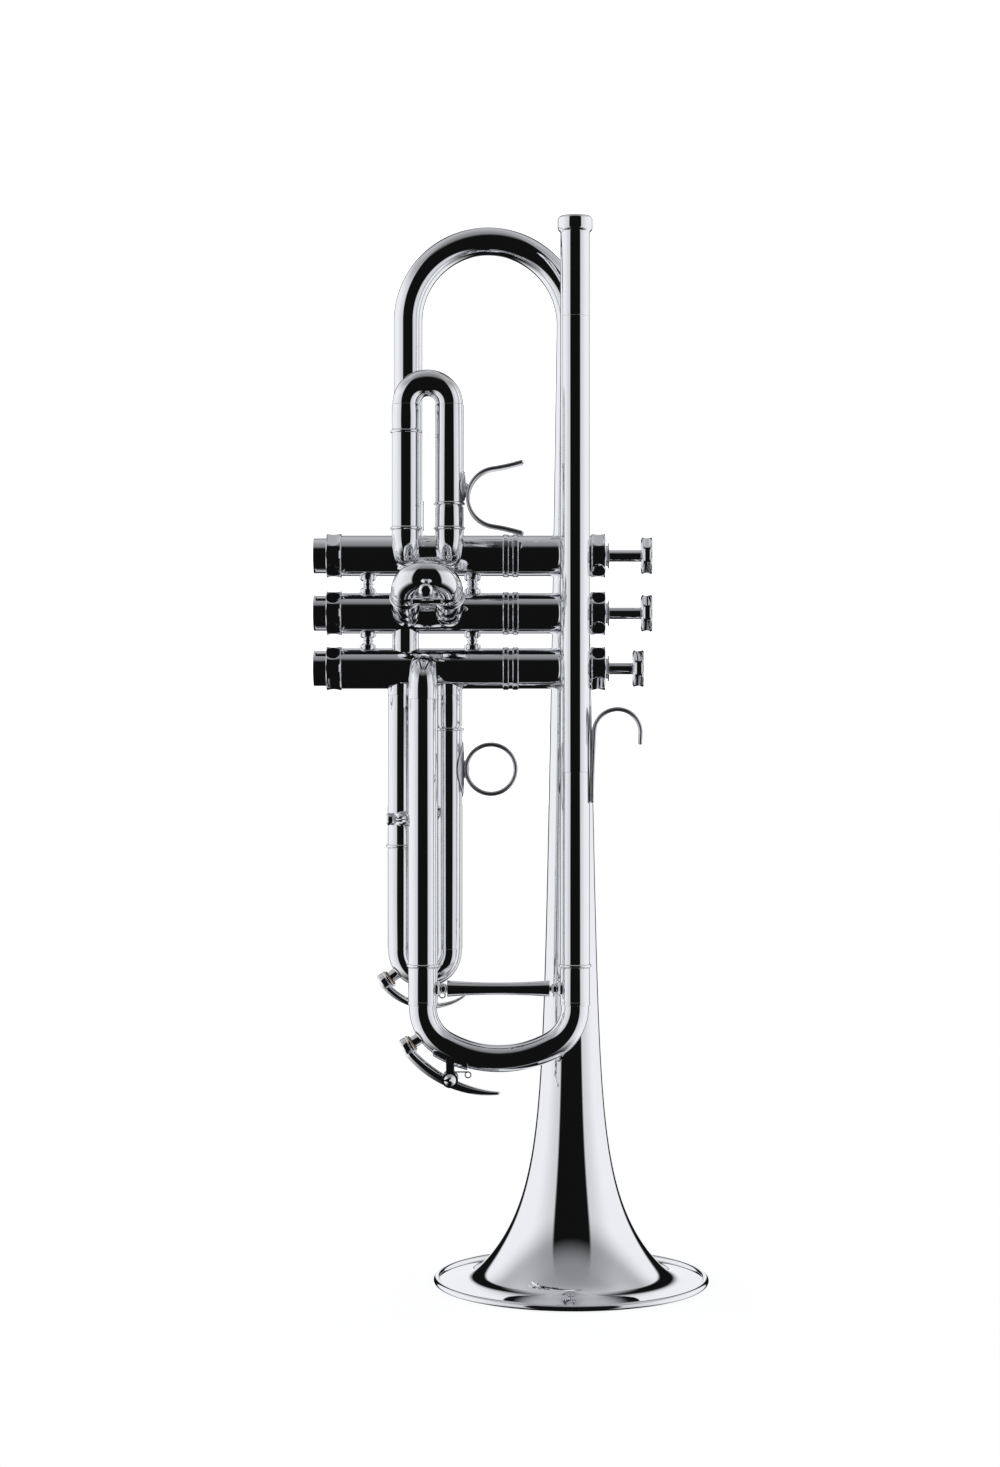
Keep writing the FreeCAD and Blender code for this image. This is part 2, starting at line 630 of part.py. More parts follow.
def make_casing_saddles():
    """Small soldered blocks between the casings and the pipes that pass them."""
    blocks = []
    for valve in (0, 2):
        z = CASING_Z[valve]
        lead_block = Part.makeBox(8, 8.0, 6, V(LEAD_X - 4, LEAD_Y + LEAD_RADIUS - 3.0, z - 3))
        lead_block = lead_block.cut(Part.makeCylinder(LEAD_RADIUS, 20, V(LEAD_X, LEAD_Y, z - 10), UP))
        blocks.append(lead_block.cut(valve_body(valve)))
        bell_side = bell_radius(z)
        bell_block = Part.makeBox(8, 9.0, 6, V(-4, BELL_Y - bell_side - 6.0, z - 3))
        cone = Part.makeCone(bell_radius(z - 10), bell_radius(z + 10), 20, V(0, BELL_Y, z - 10), UP)
        blocks.append(bell_block.cut(cone).cut(valve_body(valve)))
    export("casing_saddles", *blocks)


def make_pinky_hook():
    """Bent strip: foot along the leadpipe, straight rise, half-round hook open at the far side."""
    x, z = HOOK_CENTRE
    outer = HOOK_RADIUS
    inner = HOOK_RADIUS - HOOK_THICK
    foot_x = LEAD_X + LEAD_RADIUS
    face_x = foot_x + HOOK_THICK
    tip_z = z - 5.5
    outline = [
        line(at(x - outer, z), at(foot_x, HOOK_RISE_Z)),
        line(at(foot_x, HOOK_RISE_Z), at(foot_x, HOOK_FOOT_Z)),
        line(at(foot_x, HOOK_FOOT_Z), at(face_x, HOOK_FOOT_Z)),
        line(at(face_x, HOOK_FOOT_Z), at(face_x + 0.2, HOOK_RISE_Z)),
        line(at(face_x + 0.2, HOOK_RISE_Z), at(x - inner, z)),
        arc(at(x - inner, z), at(x, z + inner), at(x + inner, z)),
        line(at(x + inner, z), at(x + inner - 0.4, tip_z)),
        line(at(x + inner - 0.4, tip_z), at(x + outer - 0.2, tip_z)),
        line(at(x + outer - 0.2, tip_z), at(x + outer, z)),
        arc(at(x + outer, z), at(x, z + outer), at(x - outer, z)),
    ]
    hook = strap(outline, HOOK_WIDTH, LEAD_Y)
    low = V(LEAD_X, LEAD_Y, HOOK_FOOT_Z)
    height = HOOK_PLATE_TOP - HOOK_FOOT_Z
    plate = sleeve(low, low + UP * height, LEAD_RADIUS + 0.8, LEAD_RADIUS)
    window = Part.makeBox(6, 7.0, height, low + V(4.5, -3.5, 0))
    pipe = Part.makeCylinder(LEAD_RADIUS, height + 20, low + DOWN * 10, UP)
    export("pinky_hook", hook.cut(pipe).fuse(plate.common(window)))


# ================= main tuning slide =================

def main_crook_path():
    """Two legs, two corner arcs and one long arc across the bottom, all tangent."""
    half = (LEAD_X - LOWER_LEG_X) / 2
    middle_x = (LEAD_X + LOWER_LEG_X) / 2
    start_z = FERRULE_END
    corner_z = FERRULE_END - 1.0
    sin_half = (half - CROOK_CORNER) / (CROOK_BOTTOM_ARC - CROOK_CORNER)
    cos_half = math.sqrt(1 - sin_half * sin_half)
    centre_z = corner_z + (CROOK_BOTTOM_ARC - CROOK_CORNER) * cos_half

    def corner(side, angle):
        x = middle_x + side * (half - CROOK_CORNER + CROOK_CORNER * math.cos(angle))
        return V(x, LEAD_Y, corner_z - CROOK_CORNER * math.sin(angle))

    turn = math.acos(sin_half)
    bottom = V(middle_x, LEAD_Y, centre_z - CROOK_BOTTOM_ARC)
    return [
        line(V(LOWER_LEG_X, LEAD_Y, start_z), corner(-1, 0)),
        arc(corner(-1, 0), corner(-1, turn / 2), corner(-1, turn)),
        arc(corner(-1, turn), bottom, corner(1, turn)),
        arc(corner(1, turn), corner(1, turn / 2), corner(1, 0)),
        line(corner(1, 0), V(LEAD_X, LEAD_Y, start_z)),
    ]


def make_tuning_slide():
    export("tuning_slide_crook", bent_tube(main_crook_path(), CROOK_RADIUS, CROOK_RADIUS - WALL))
    leg_outer = LEAD_RADIUS - WALL - SLIDE_FIT
    ferrule_top = MAIN_RING_Z - FACE_GAP
    legs = []
    ferrules = []
    stops = []
    for x, side in ((LOWER_LEG_X, 1), (LEAD_X, -1)):
        low = V(x, LEAD_Y, FERRULE_END)
        legs.append(sleeve(low, V(x, LEAD_Y, MAIN_RING_Z + MAIN_ENGAGED), leg_outer, leg_outer - WALL + 0.1))
        ferrules.append(sleeve(low, V(x, LEAD_Y, ferrule_top), LEAD_RADIUS, leg_outer))
        stops.append(brace_end(x, side))
    export("tuning_slide_legs", *legs)
    export("tuning_slide_ferrules", *ferrules)
    bar_from = LOWER_LEG_X + LEAD_RADIUS + 4.4
    bar_to = LEAD_X - LEAD_RADIUS - 5.0
    corners = [(bar_from - 3.4, 0), (bar_from - 3.4, 1.5), (bar_from, 1.5), (bar_from, 3.7)]
    steps = 6
    for k in range(1, steps):
        share = k / steps
        waist = 0.9 * (1 - (2 * share - 1) ** 2)
        corners.append((bar_from + share * (bar_to - bar_from), 3.7 - waist))
    corners = corners + [(bar_to, 3.7), (bar_to, 1.5), (bar_to + 3.4, 1.5), (bar_to + 3.4, 0)]
    bar = turned(corners, V(0, LEAD_Y, BRACE_Z), RIGHT)
    for stop in stops:
        bar = bar.fuse(stop)
    for x in (LOWER_LEG_X, LEAD_X):
        bar = bar.cut(Part.makeCylinder(LEAD_RADIUS, 60, V(x, LEAD_Y, BRACE_Z - 30), UP))
    export("tuning_slide_brace", bar)


def brace_end(x, side):
    """Diamond foot and ball that join the stay to a ferrule; side points to the other leg."""
    foot = Part.makeCylinder(4.0, 3.2, V(x + side * (LEAD_RADIUS - 1.6), LEAD_Y, BRACE_Z), V(side, 0, 0))
    ball = Part.makeSphere(2.3, V(x + side * (LEAD_RADIUS + 2.4), LEAD_Y, BRACE_Z))
    return foot.fuse(ball)


# ================= water keys =================

def key_fittings(seat, normal, pivot, y, centre_z, half_length, tube, shell):
    """Nipple on the crook, two ears under a plate that fits the crook, and the pivot screw."""
    back = normal * -1
    base = V(seat[0], y, seat[1])
    nipple = Part.makeCylinder(NIPPLE_RADIUS, 5.2, base + back * 2.4, normal)
    nipple = nipple.cut(Part.makeCylinder(1.2, 6, base + back * 3, normal)).cut(tube)
    rise = centre_z - pivot[1]
    half = KEY_WIDTH / 2 + FACE_GAP + KEY_EAR
    window = Part.makeBox(2 * half_length, 2 * half, rise, V(pivot[0] - half_length, y - half, pivot[1]))
    saddle = shell.common(window)
    for ear_y in (y - half, y + half - KEY_EAR):
        cheek = Part.makeCylinder(EAR_RADIUS, KEY_EAR, V(pivot[0], ear_y, pivot[1]), BACK)
        post = Part.makeBox(3.6, KEY_EAR, rise, V(pivot[0] - 1.8, ear_y, pivot[1]))
        saddle = saddle.fuse(cheek).fuse(post)
    hole = Part.makeCylinder(KEY_PIN, 30, V(pivot[0], y - 15, pivot[1]), BACK)
    saddle = saddle.cut(tube).cut(hole)
    screw = Part.makeCylinder(KEY_PIN, 2 * half, V(pivot[0], y - half, pivot[1]), BACK)
    head = Part.makeCylinder(KEY_SCREW_HEAD, 1.0, V(pivot[0], y - half - 1.0, pivot[1]), BACK)
    return nipple, saddle, screw.fuse(head)


def key_lever(outline, pivot, seat, normal, y):
    """Curved lever with its pivot barrel and the cup that holds the cork."""
    lever = strap(outline, LEVER_WIDTH, y)
    barrel = Part.makeCylinder(KEY_BARREL, KEY_WIDTH, V(pivot[0], y - KEY_WIDTH / 2, pivot[1]), BACK)
    rim = V(seat[0], y, seat[1]) + normal * CUP_OFF_SEAT
    cup = Part.makeCylinder(CUP_RADIUS, CUP_LENGTH, rim, normal)
    pocket = Part.makeCylinder(CUP_RADIUS - CUP_WALL, CUP_LENGTH - 1.0, rim, normal)
    bore = Part.makeCylinder(KEY_PIN + PIVOT_FIT, 30, V(pivot[0], y - 15, pivot[1]), BACK)
    groove_start = V(pivot[0], y - 1.6, pivot[1])
    groove = sleeve(groove_start, groove_start + BACK * 2, SPRING_COIL + 0.6, KEY_BARREL)
    return lever.cut(groove).fuse(barrel).fuse(cup).cut(pocket).cut(bore)


def key_cork(seat, normal, y):
    face = V(seat[0], y, seat[1]) + normal * (CUP_OFF_SEAT - CORK_PROUD)
    return Part.makeCylinder(CUP_RADIUS - CUP_WALL, CUP_LENGTH - 1.0 + CORK_PROUD, face, normal)


def torsion_spring(pivot, y):
    """Wire spring wound round the barrel, with one looped leg under the crook."""
    ring = Part.makeTorus(SPRING_COIL, SPRING_ROUND, V(pivot[0], y - 1.0, pivot[1]), BACK)
    second = Part.makeTorus(SPRING_COIL, SPRING_ROUND, V(pivot[0], y - 0.2, pivot[1]), BACK)
    leg_start = V(pivot[0], y - 0.6, pivot[1] + SPRING_COIL)
    leg_end = leg_start + RIGHT * 8.0
    leg = Part.makeCylinder(SPRING_ROUND, 8.0, leg_start, RIGHT)
    loop = Part.makeTorus(1.3, SPRING_ROUND, leg_end + DOWN * 1.3, BACK)
    return ring.fuse(second).fuse(leg).fuse(loop)


def lever_outline(top, under):
    """Outline of a lever between two arcs, each through three (x, z) points."""
    inner = [at(*point) for point in top]
    outer = [at(*point) for point in under]
    return [arc(*inner), line(inner[2], outer[2]), arc(*reversed(outer)), line(outer[0], inner[0])]


def heading(degrees):
    """Direction in the X-Z plane."""
    angle = math.radians(degrees)
    return V(math.cos(angle), 0, math.sin(angle))


def make_main_key():
    normal = heading(MAIN_KEY_ANGLE)
    reach = CROOK_CORNER + CROOK_RADIUS
    seat = (LOWER_LEG_X + CROOK_CORNER + reach * normal.x, FERRULE_END - 1.0 + reach * normal.z)
    tube = sweep(main_crook_path(), CROOK_RADIUS)
    shell = sweep(main_crook_path(), CROOK_RADIUS + KEY_PLATE)
    centre_z = MAIN_KEY_PIVOT[1] + 13.0
    half_length = MAIN_PLATE_HALF
    parts = key_fittings(seat, normal, MAIN_KEY_PIVOT, LEAD_Y, centre_z, half_length, tube, shell)
    export("tuning_key_saddle", *parts)
    outline = lever_outline(MAIN_LEVER_TOP, MAIN_LEVER_UNDER)
    export("tuning_key_lever", key_lever(outline, MAIN_KEY_PIVOT, seat, normal, LEAD_Y))
    export("tuning_key_cork", key_cork(seat, normal, LEAD_Y))
    export("tuning_key_spring", torsion_spring(MAIN_KEY_PIVOT, LEAD_Y))


def make_third_key():
    normal = heading(THIRD_KEY_ANGLE)
    centre = V((THIRD_PORTS[0] + THIRD_PORTS[1]) / 2, VALVE_Y, THIRD_BOTTOM_Z - 1.0)
    bend = (THIRD_PORTS[1] - THIRD_PORTS[0]) / 2
    reach = bend + CROOK_RADIUS
    seat = (centre.x + reach * normal.x, centre.z + reach * normal.z)
    tube = Part.makeTorus(bend, CROOK_RADIUS, centre, BACK)
    shell = Part.makeTorus(bend, CROOK_RADIUS + KEY_PLATE, centre, BACK)
    centre_z = centre.z - bend
    half_length = THIRD_PLATE_HALF
    parts = key_fittings(seat, normal, THIRD_KEY_PIVOT, VALVE_Y, centre_z, half_length, tube, shell)
    export("third_key_saddle", *parts)
    outline = lever_outline(THIRD_LEVER_TOP, THIRD_LEVER_UNDER)
    export("third_key_lever", key_lever(outline, THIRD_KEY_PIVOT, seat, normal, VALVE_Y))
    export("third_key_cork", key_cork(seat, normal, VALVE_Y))
    export("third_key_spring", torsion_spring(THIRD_KEY_PIVOT, VALVE_Y))


# ================= first slide =================

def make_first_slide():
    inner_leg = TUBE_RADIUS - WALL - SLIDE_FIT
    knuckles = []
    for x in (PORT_LEFT, PORT_RIGHT):
        start = V(x, FIRST_SLIDE_Y, CASING_Z[0] + ELBOW + 1.0)
        edges = [line(start + UP * 1.5, start), quarter(start, DOWN, BACK, ELBOW)]
        knuckle = bent_tube(edges, TUBE_RADIUS, TUBE_RADIUS - WALL)
        knuckles.append(knuckle.cut(valve_body(0)))
    knuckle_top = CASING_Z[0] + ELBOW + 2.5
    left_low = V(PORT_LEFT, FIRST_SLIDE_Y, knuckle_top)
    right_low = V(PORT_RIGHT, FIRST_SLIDE_Y, knuckle_top)
    left_ring = V(PORT_LEFT, FIRST_SLIDE_Y, FIRST_RING_Z[0])
    right_ring = V(PORT_RIGHT, FIRST_SLIDE_Y, FIRST_RING_Z[1])
    outer_tube = beaded_sleeve(left_low, left_ring, TUBE_RADIUS, TUBE_RADIUS - WALL)
    inner_top = V(PORT_RIGHT, FIRST_SLIDE_Y, FIRST_TOP_Z - 3)
    foot_top = right_ring - UP * (2 * FACE_GAP)
    inner_tube = sleeve(right_low, inner_top, inner_leg, inner_leg - WALL + 0.1)
    inner_tube = inner_tube.fuse(sleeve(right_low, foot_top, TUBE_RADIUS, inner_leg - WALL + 0.1))
    export("first_casing_tubes", outer_tube, inner_tube)
    export("first_slide_knuckles", *knuckles)

    left_top = V(PORT_LEFT, FIRST_SLIDE_Y, FIRST_TOP_Z)
    right_top = V(PORT_RIGHT, FIRST_SLIDE_Y, FIRST_TOP_Z)
    bend = (PORT_RIGHT - PORT_LEFT) / 2
    crown = (left_top + right_top) * 0.5 + UP * bend
    crook = bent_tube([arc(left_top, crown, right_top)], CROOK_RADIUS, CROOK_RADIUS - WALL)
    export("first_slide_crook", crook)
    left_foot = left_ring - UP * FIRST_ENGAGED
    left_leg = sleeve(left_foot, left_top, inner_leg, inner_leg - WALL + 0.1)
    left_leg = left_leg.fuse(sleeve(left_ring + UP * FACE_GAP, left_top, TUBE_RADIUS, inner_leg - 0.2))
    right_leg = beaded_sleeve(right_top, right_ring, TUBE_RADIUS, TUBE_RADIUS - WALL)
    export("first_slide_legs", left_leg, right_leg)


def saddle_edge(radius, tip_inset):
    """One edge of the saddle strip as points: upper tip, upper arm, arc start, back, and so on."""
    x, z = SADDLE_CENTRE
    splay = math.radians(90 + SADDLE_SPLAY)
    start = (radius * math.cos(splay), radius * math.sin(splay))
    tip = (SADDLE_TIP[0] - x - tip_inset / 4, SADDLE_TIP[1] - tip_inset)
    share = 0.5
    middle_x = start[0] + share * (tip[0] - start[0])
    middle_z = start[1] + share * (tip[1] - start[1]) - 0.5
    upper = [at(x + tip[0], z + tip[1]), at(x + middle_x, z + middle_z), at(x + start[0], z + start[1])]
    lower = [at(point.x, 2 * z - point.z) for point in reversed(upper)]
    return upper, at(x - radius, z), lower


def make_thumb_saddle():
    """Open U of strip brazed to a lens-shaped plate on the moving sleeve."""
    upper, back, lower = saddle_edge(SADDLE_RADIUS, 0.0)
    upper_in, back_in, lower_in = saddle_edge(SADDLE_RADIUS - STRAP, STRAP)
    outline = [
        arc(*upper), arc(upper[2], back, lower[0]), arc(*lower), line(lower[2], lower_in[2]),
        arc(*reversed(lower_in)), arc(lower_in[0], back_in, upper_in[2]), arc(*reversed(upper_in)),
        line(upper_in[0], upper[0]),
    ]
    saddle = strap(outline, SADDLE_WIDTH, FIRST_SLIDE_Y)
    low = V(PORT_RIGHT, FIRST_SLIDE_Y, FIRST_RING_Z[1] + 2 * RING_BEAD + 0.4)
    top = V(PORT_RIGHT, FIRST_SLIDE_Y, SADDLE_PLATE_TOP)
    plate = sleeve(low, top, TUBE_RADIUS + 0.9, TUBE_RADIUS)
    window = Part.makeBox(8, 10, 40, V(PORT_RIGHT + 3.5, FIRST_SLIDE_Y - 5, 340))
    foot = Part.makeCylinder(3.4, 3.0, V(PORT_RIGHT + TUBE_RADIUS - 0.6, FIRST_SLIDE_Y, 362.6), RIGHT)
    tube = Part.makeCylinder(TUBE_RADIUS, 60, V(PORT_RIGHT, FIRST_SLIDE_Y, 340), UP)
    export("thumb_saddle", saddle.fuse(plate.common(window)).fuse(foot).cut(tube))


# ================= second slide =================

def tilted(degrees):
    """Direction towards the viewer, raised by an angle."""
    angle = math.radians(degrees)
    return V(0, -math.cos(angle), math.sin(angle))


def second_elbow(x):
    """Path of an elbow that leaves the casing level and ends along the slide's own direction."""
    start = V(x, VALVE_Y - CASING_OUTER, CASING_Z[1])
    centre = start + UP * SECOND_ELBOW
    middle = centre + tilted(SECOND_TILT / 2 - 90) * SECOND_ELBOW
    end = centre + tilted(SECOND_TILT - 90) * SECOND_ELBOW
    return [line(start + BACK * 4, start), arc(start, middle, end)], end


def make_second_slide():
    axis = tilted(SECOND_TILT)
    inner_leg = TUBE_RADIUS - WALL - SLIDE_FIT
    outers = []
    legs = []
    ends = []
    for x in (PORT_LEFT, PORT_RIGHT):
        path, root = second_elbow(x)
        elbow = bent_tube(path, TUBE_RADIUS, TUBE_RADIUS - WALL).cut(valve_body(1))
        outer = beaded_sleeve(root, root + axis * SECOND_RING, TUBE_RADIUS, TUBE_RADIUS - WALL)
        outers.append(elbow.fuse(outer))
        leg_end = root + axis * SECOND_CROOK
        leg = sleeve(root + axis * 0.3, leg_end, inner_leg, inner_leg - WALL + 0.1)
        collar = sleeve(root + axis * (SECOND_RING + FACE_GAP), leg_end, TUBE_RADIUS, inner_leg - 0.2)
        legs.append(leg.fuse(collar))
        ends.append(leg_end)
    export("second_casing_tubes", *outers)
    export("second_slide_legs", *legs)
    left, right = ends
    bend = (PORT_RIGHT - PORT_LEFT) / 2
    middle = (left + right) * 0.5
    path = [arc(left, middle + axis * bend, right)]
    export("second_slide_crook", bent_tube(path, CROOK_RADIUS, CROOK_RADIUS - WALL))
    knob_base = middle + axis * bend + FRONT * 1.0 + DOWN * 4.3
    corners = [
        (0, 0), (0, 2.2), (3.4, 1.6), (5.4, 1.6), (6.2, 2.7),
        (7.6, 3.2), (9.6, 3.2), (10.8, 2.6), (11.2, 0),
    ]
    knob = turned(corners, knob_base, tilted(KNOB_TILT)).cut(sweep(path, CROOK_RADIUS))
    plate_centre = middle - axis * 1.9 + tilted(SECOND_TILT - 90) * 5.0
    plate = turned([(-7, 0), (-7, 1.7), (7, 1.7), (7, 0)], plate_centre, RIGHT)
    for end in ends:
        plate = plate.cut(Part.makeCylinder(TUBE_RADIUS, 60, end - axis * 30, axis))
    export("pull_knob", knob, plate)


# ================= third slide =================

def make_third_slide():
    inner_leg = TUBE_RADIUS - WALL - SLIDE_FIT
    left_x, right_x = THIRD_PORTS
    root_z = CASING_Z[2]
    left_root = V(left_x, VALVE_Y, root_z)
    right_root = V(right_x, VALVE_Y, root_z)
    left_ring = V(left_x, VALVE_Y, THIRD_RING_Z[0])
    right_ring = V(right_x, VALVE_Y, THIRD_RING_Z[1])
    left_low = V(left_x, VALVE_Y, THIRD_BOTTOM_Z)
    right_low = V(right_x, VALVE_Y, THIRD_BOTTOM_Z)
    outer_tube = beaded_sleeve(left_root, left_ring, TUBE_RADIUS, TUBE_RADIUS - WALL).cut(valve_body(2))
    inner_tube = sleeve(right_root, right_low + UP * 3, inner_leg, inner_leg - WALL + 0.1)
    foot_low = right_ring + UP * 2 * FACE_GAP
    inner_tube = inner_tube.fuse(sleeve(right_root, foot_low, TUBE_RADIUS, inner_leg - WALL + 0.1))
    export("third_casing_tubes", outer_tube, inner_tube.cut(valve_body(2)))

    bend = (right_x - left_x) / 2
    drop = DOWN * 1.0
    bottom = (left_low + right_low) * 0.5 + drop + DOWN * bend
    edges = [
        line(left_low, left_low + drop),
        arc(left_low + drop, bottom, right_low + drop),
        line(right_low + drop, right_low),
    ]
    export("third_slide_crook", bent_tube(edges, CROOK_RADIUS, CROOK_RADIUS - WALL))
    left_leg = sleeve(left_low, left_ring + UP * THIRD_ENGAGED, inner_leg, inner_leg - WALL + 0.1)
    left_leg = left_leg.fuse(sleeve(left_low, left_ring - UP * FACE_GAP, TUBE_RADIUS, inner_leg - 0.2))
    right_leg = beaded_sleeve(right_low, right_ring, TUBE_RADIUS, TUBE_RADIUS - WALL)
    export("third_slide_legs", left_leg, right_leg)


def make_finger_ring():
    x, z = FINGER_RING
    centre = V(x, VALVE_Y - FINGER_RING_WIDTH / 2, z)
    band = sleeve(centre, centre + BACK * FINGER_RING_WIDTH, FINGER_RING_RADIUS,
                  FINGER_RING_RADIUS - FINGER_RING_THICK)
    leg_x = THIRD_PORTS[1]
    neck_from = leg_x + TUBE_RADIUS - 0.8
    neck_length = x - FINGER_RING_RADIUS + 0.6 - neck_from
    neck = Part.makeBox(neck_length, 4.0, 8.3, V(neck_from, VALVE_Y - 2.0, z - 4.15))
    plate_low = V(leg_x, VALVE_Y, z - RING_PLATE_HALF)
    plate_top = V(leg_x, VALVE_Y, z + RING_PLATE_HALF)
    plate = sleeve(plate_low, plate_top, TUBE_RADIUS + 0.9, TUBE_RADIUS)
    lens = Part.makeCylinder(15.5, 12, V(leg_x, VALVE_Y - 9.6, z), RIGHT)
    lens = lens.common(Part.makeCylinder(15.5, 12, V(leg_x, VALVE_Y + 9.6, z), RIGHT))
    tube = Part.makeCylinder(TUBE_RADIUS, 60, V(leg_x, VALVE_Y, z - 30), UP)
    export("finger_ring", band.fuse(neck).fuse(plate.common(lens)).cut(tube))


def make_stop():
    """Post on the third slide's outer tube, with the thumbscrew that clamps the stop."""
    x = THIRD_PORTS[0]
    z = STOP_SCREW_Z
    screw_y = VALVE_Y - TUBE_RADIUS - 3.4
    post = turned([(0, 0), (0, 5.0), (1.3, 3.6), (3.0, 2.6), (8.0, 2.6), (8.0, 0)],
                  V(x + 0.6, VALVE_Y - TUBE_RADIUS + 1.5, z), FRONT)
    post = post.cut(Part.makeCylinder(TUBE_RADIUS, 60, V(x, VALVE_Y, z - 30), UP))
    hole = Part.makeCylinder(1.3 + PIVOT_FIT, 12, V(x - 6, screw_y, z), RIGHT)
    export("stop_post", post.cut(hole))
    corners = [
        (-6.6, 0), (-6.6, 2.2), (-6.0, 2.8), (-3.4, 2.8), (-2.9, 2.0),
        (-2.4, 2.0), (-2.4, 1.3), (3.8, 1.3), (3.8, 0),
    ]
    export("stop_screw", turned(corners, V(x, screw_y, z), RIGHT))


# ================= build =================

os.makedirs("parts", exist_ok=True)
make_bell()
make_bow()
make_valves()
make_balusters()
make_crossovers()
make_leadpipe()
make_lower_leg()
make_braces()
make_casing_saddles()
make_pinky_hook()
make_tuning_slide()
make_main_key()
make_third_key()
make_first_slide()
make_thumb_saddle()
make_second_slide()
make_third_slide()
make_finger_ring()
make_stop()
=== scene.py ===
import json
import math

import bmesh
import bpy
import numpy as np
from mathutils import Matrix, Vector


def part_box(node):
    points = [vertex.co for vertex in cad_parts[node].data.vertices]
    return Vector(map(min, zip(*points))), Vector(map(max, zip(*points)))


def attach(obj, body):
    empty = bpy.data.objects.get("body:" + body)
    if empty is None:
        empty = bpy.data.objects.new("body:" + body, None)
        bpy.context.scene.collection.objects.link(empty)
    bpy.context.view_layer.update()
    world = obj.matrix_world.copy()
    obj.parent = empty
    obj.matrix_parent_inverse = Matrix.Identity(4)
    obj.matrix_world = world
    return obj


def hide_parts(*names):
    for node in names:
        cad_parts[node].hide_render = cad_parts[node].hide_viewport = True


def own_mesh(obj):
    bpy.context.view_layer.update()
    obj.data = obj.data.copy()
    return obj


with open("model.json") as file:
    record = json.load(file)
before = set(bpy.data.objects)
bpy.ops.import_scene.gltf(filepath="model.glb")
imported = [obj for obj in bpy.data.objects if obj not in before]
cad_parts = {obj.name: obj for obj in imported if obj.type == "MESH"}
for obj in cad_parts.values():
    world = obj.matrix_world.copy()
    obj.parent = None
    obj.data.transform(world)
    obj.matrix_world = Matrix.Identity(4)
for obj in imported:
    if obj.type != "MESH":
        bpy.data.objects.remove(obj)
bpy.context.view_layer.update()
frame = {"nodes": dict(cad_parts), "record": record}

# ---------------------------------------------------------------- bell
# The bell is spun from one sheet of brass over a mandrel, its edge is rolled round a wire,
# and the whole is silver plated and buffed to a mirror. It carries the rest of the instrument.

MM = 0.001
UP = np.array([0.0, 0.0, 1.0])
RIGHT = np.array([1.0, 0.0, 0.0])
BACK = np.array([0.0, 1.0, 0.0])


class Signal:
    """One shader socket. Arithmetic on it adds Math nodes to its finish's tree."""

    def __init__(self, finish, socket):
        self.finish = finish
        self.socket = socket

    def combine(self, operation, first, second=0.0):
        return self.finish.node("ShaderNodeMath", {"operation": operation}, {0: first, 1: second})

    def __add__(self, other):
        return self.combine("ADD", self, other)

    def __radd__(self, other):
        return self.combine("ADD", other, self)

    def __sub__(self, other):
        return self.combine("SUBTRACT", self, other)

    def __rsub__(self, other):
        return self.combine("SUBTRACT", other, self)

    def __mul__(self, other):
        return self.combine("MULTIPLY", self, other)

    def __rmul__(self, other):
        return self.combine("MULTIPLY", other, self)


class Finish:
    """A node tree, for one of the object's finishes or for the studio round it."""

    def __init__(self, owner):
        self.owner = owner
        self.tree = owner.node_tree
        self.named = {node.type: node for node in self.tree.nodes}

    def node(self, kind, settings=None, sockets=None, out=0):
        made = self.tree.nodes.new(kind)
        for key, value in (settings or {}).items():
            setattr(made, key, value)
        for key, value in (sockets or {}).items():
            if isinstance(value, Signal):
                self.tree.links.new(value.socket, made.inputs[key])
            else:
                made.inputs[key].default_value = value
        return Signal(self, made.outputs[out])

    def feed(self, socket, signal):
        self.tree.links.new(signal.socket, self.named["BSDF_PRINCIPLED"].inputs[socket])

    def between(self, signal, low, high):
        """0 below low, 1 above high, and a smooth step from one to the other."""
        sockets = {0: signal, 1: low, 2: high, 3: 0.0, 4: 1.0}
        return self.node("ShaderNodeMapRange", {"interpolation_type": "SMOOTHSTEP"}, sockets)

    def blend(self, share, first, second):
        return self.node("ShaderNodeMix", {"data_type": "RGBA"}, {0: share, 6: first, 7: second}, 2)


def new_finish(name, metallic, roughness):
    material = bpy.data.materials.new(name)
    material.use_nodes = True
    finish = Finish(material)
    finish.named["BSDF_PRINCIPLED"].inputs["Metallic"].default_value = metallic
    finish.named["BSDF_PRINCIPLED"].inputs["Roughness"].default_value = roughness
    return finish


def polished(name, clean, toned, gloss, haze_gain, scratch_depth):
    """Buffed metal: cloudy handling haze, finger smudges and hairline polishing marks."""
    finish = new_finish(name, 1.0, gloss)
    place = finish.node("ShaderNodeTexCoord", out=3)
    cloud = finish.node("ShaderNodeTexNoise", {}, {"Vector": place, "Scale": 28.0, "Detail": 5.0})
    haze = finish.between(cloud, 0.48, 0.78)
    smudge = finish.node("ShaderNodeTexNoise", {}, {"Vector": place, "Scale": 95.0, "Detail": 3.0})
    prints = finish.between(smudge, 0.58, 0.72) * haze
    stretched = finish.node("ShaderNodeMapping", {}, {"Vector": place, "Scale": (2600.0, 2600.0, 130.0)})
    hairs = finish.node("ShaderNodeTexNoise", {}, {"Vector": stretched, "Scale": 1.0, "Detail": 2.0})
    marks = finish.between(hairs, 0.66, 0.80)
    finish.feed("Roughness", gloss + haze_gain * haze + haze_gain * prints + 0.5 * haze_gain * marks)
    finish.feed("Base Color", finish.blend(haze * 0.5 + prints * 0.4, clean, toned))
    bump = {"Strength": 0.05, "Distance": scratch_depth, "Height": marks + 0.35 * cloud}
    finish.feed("Normal", finish.node("ShaderNodeBump", {}, bump))
    return finish.owner


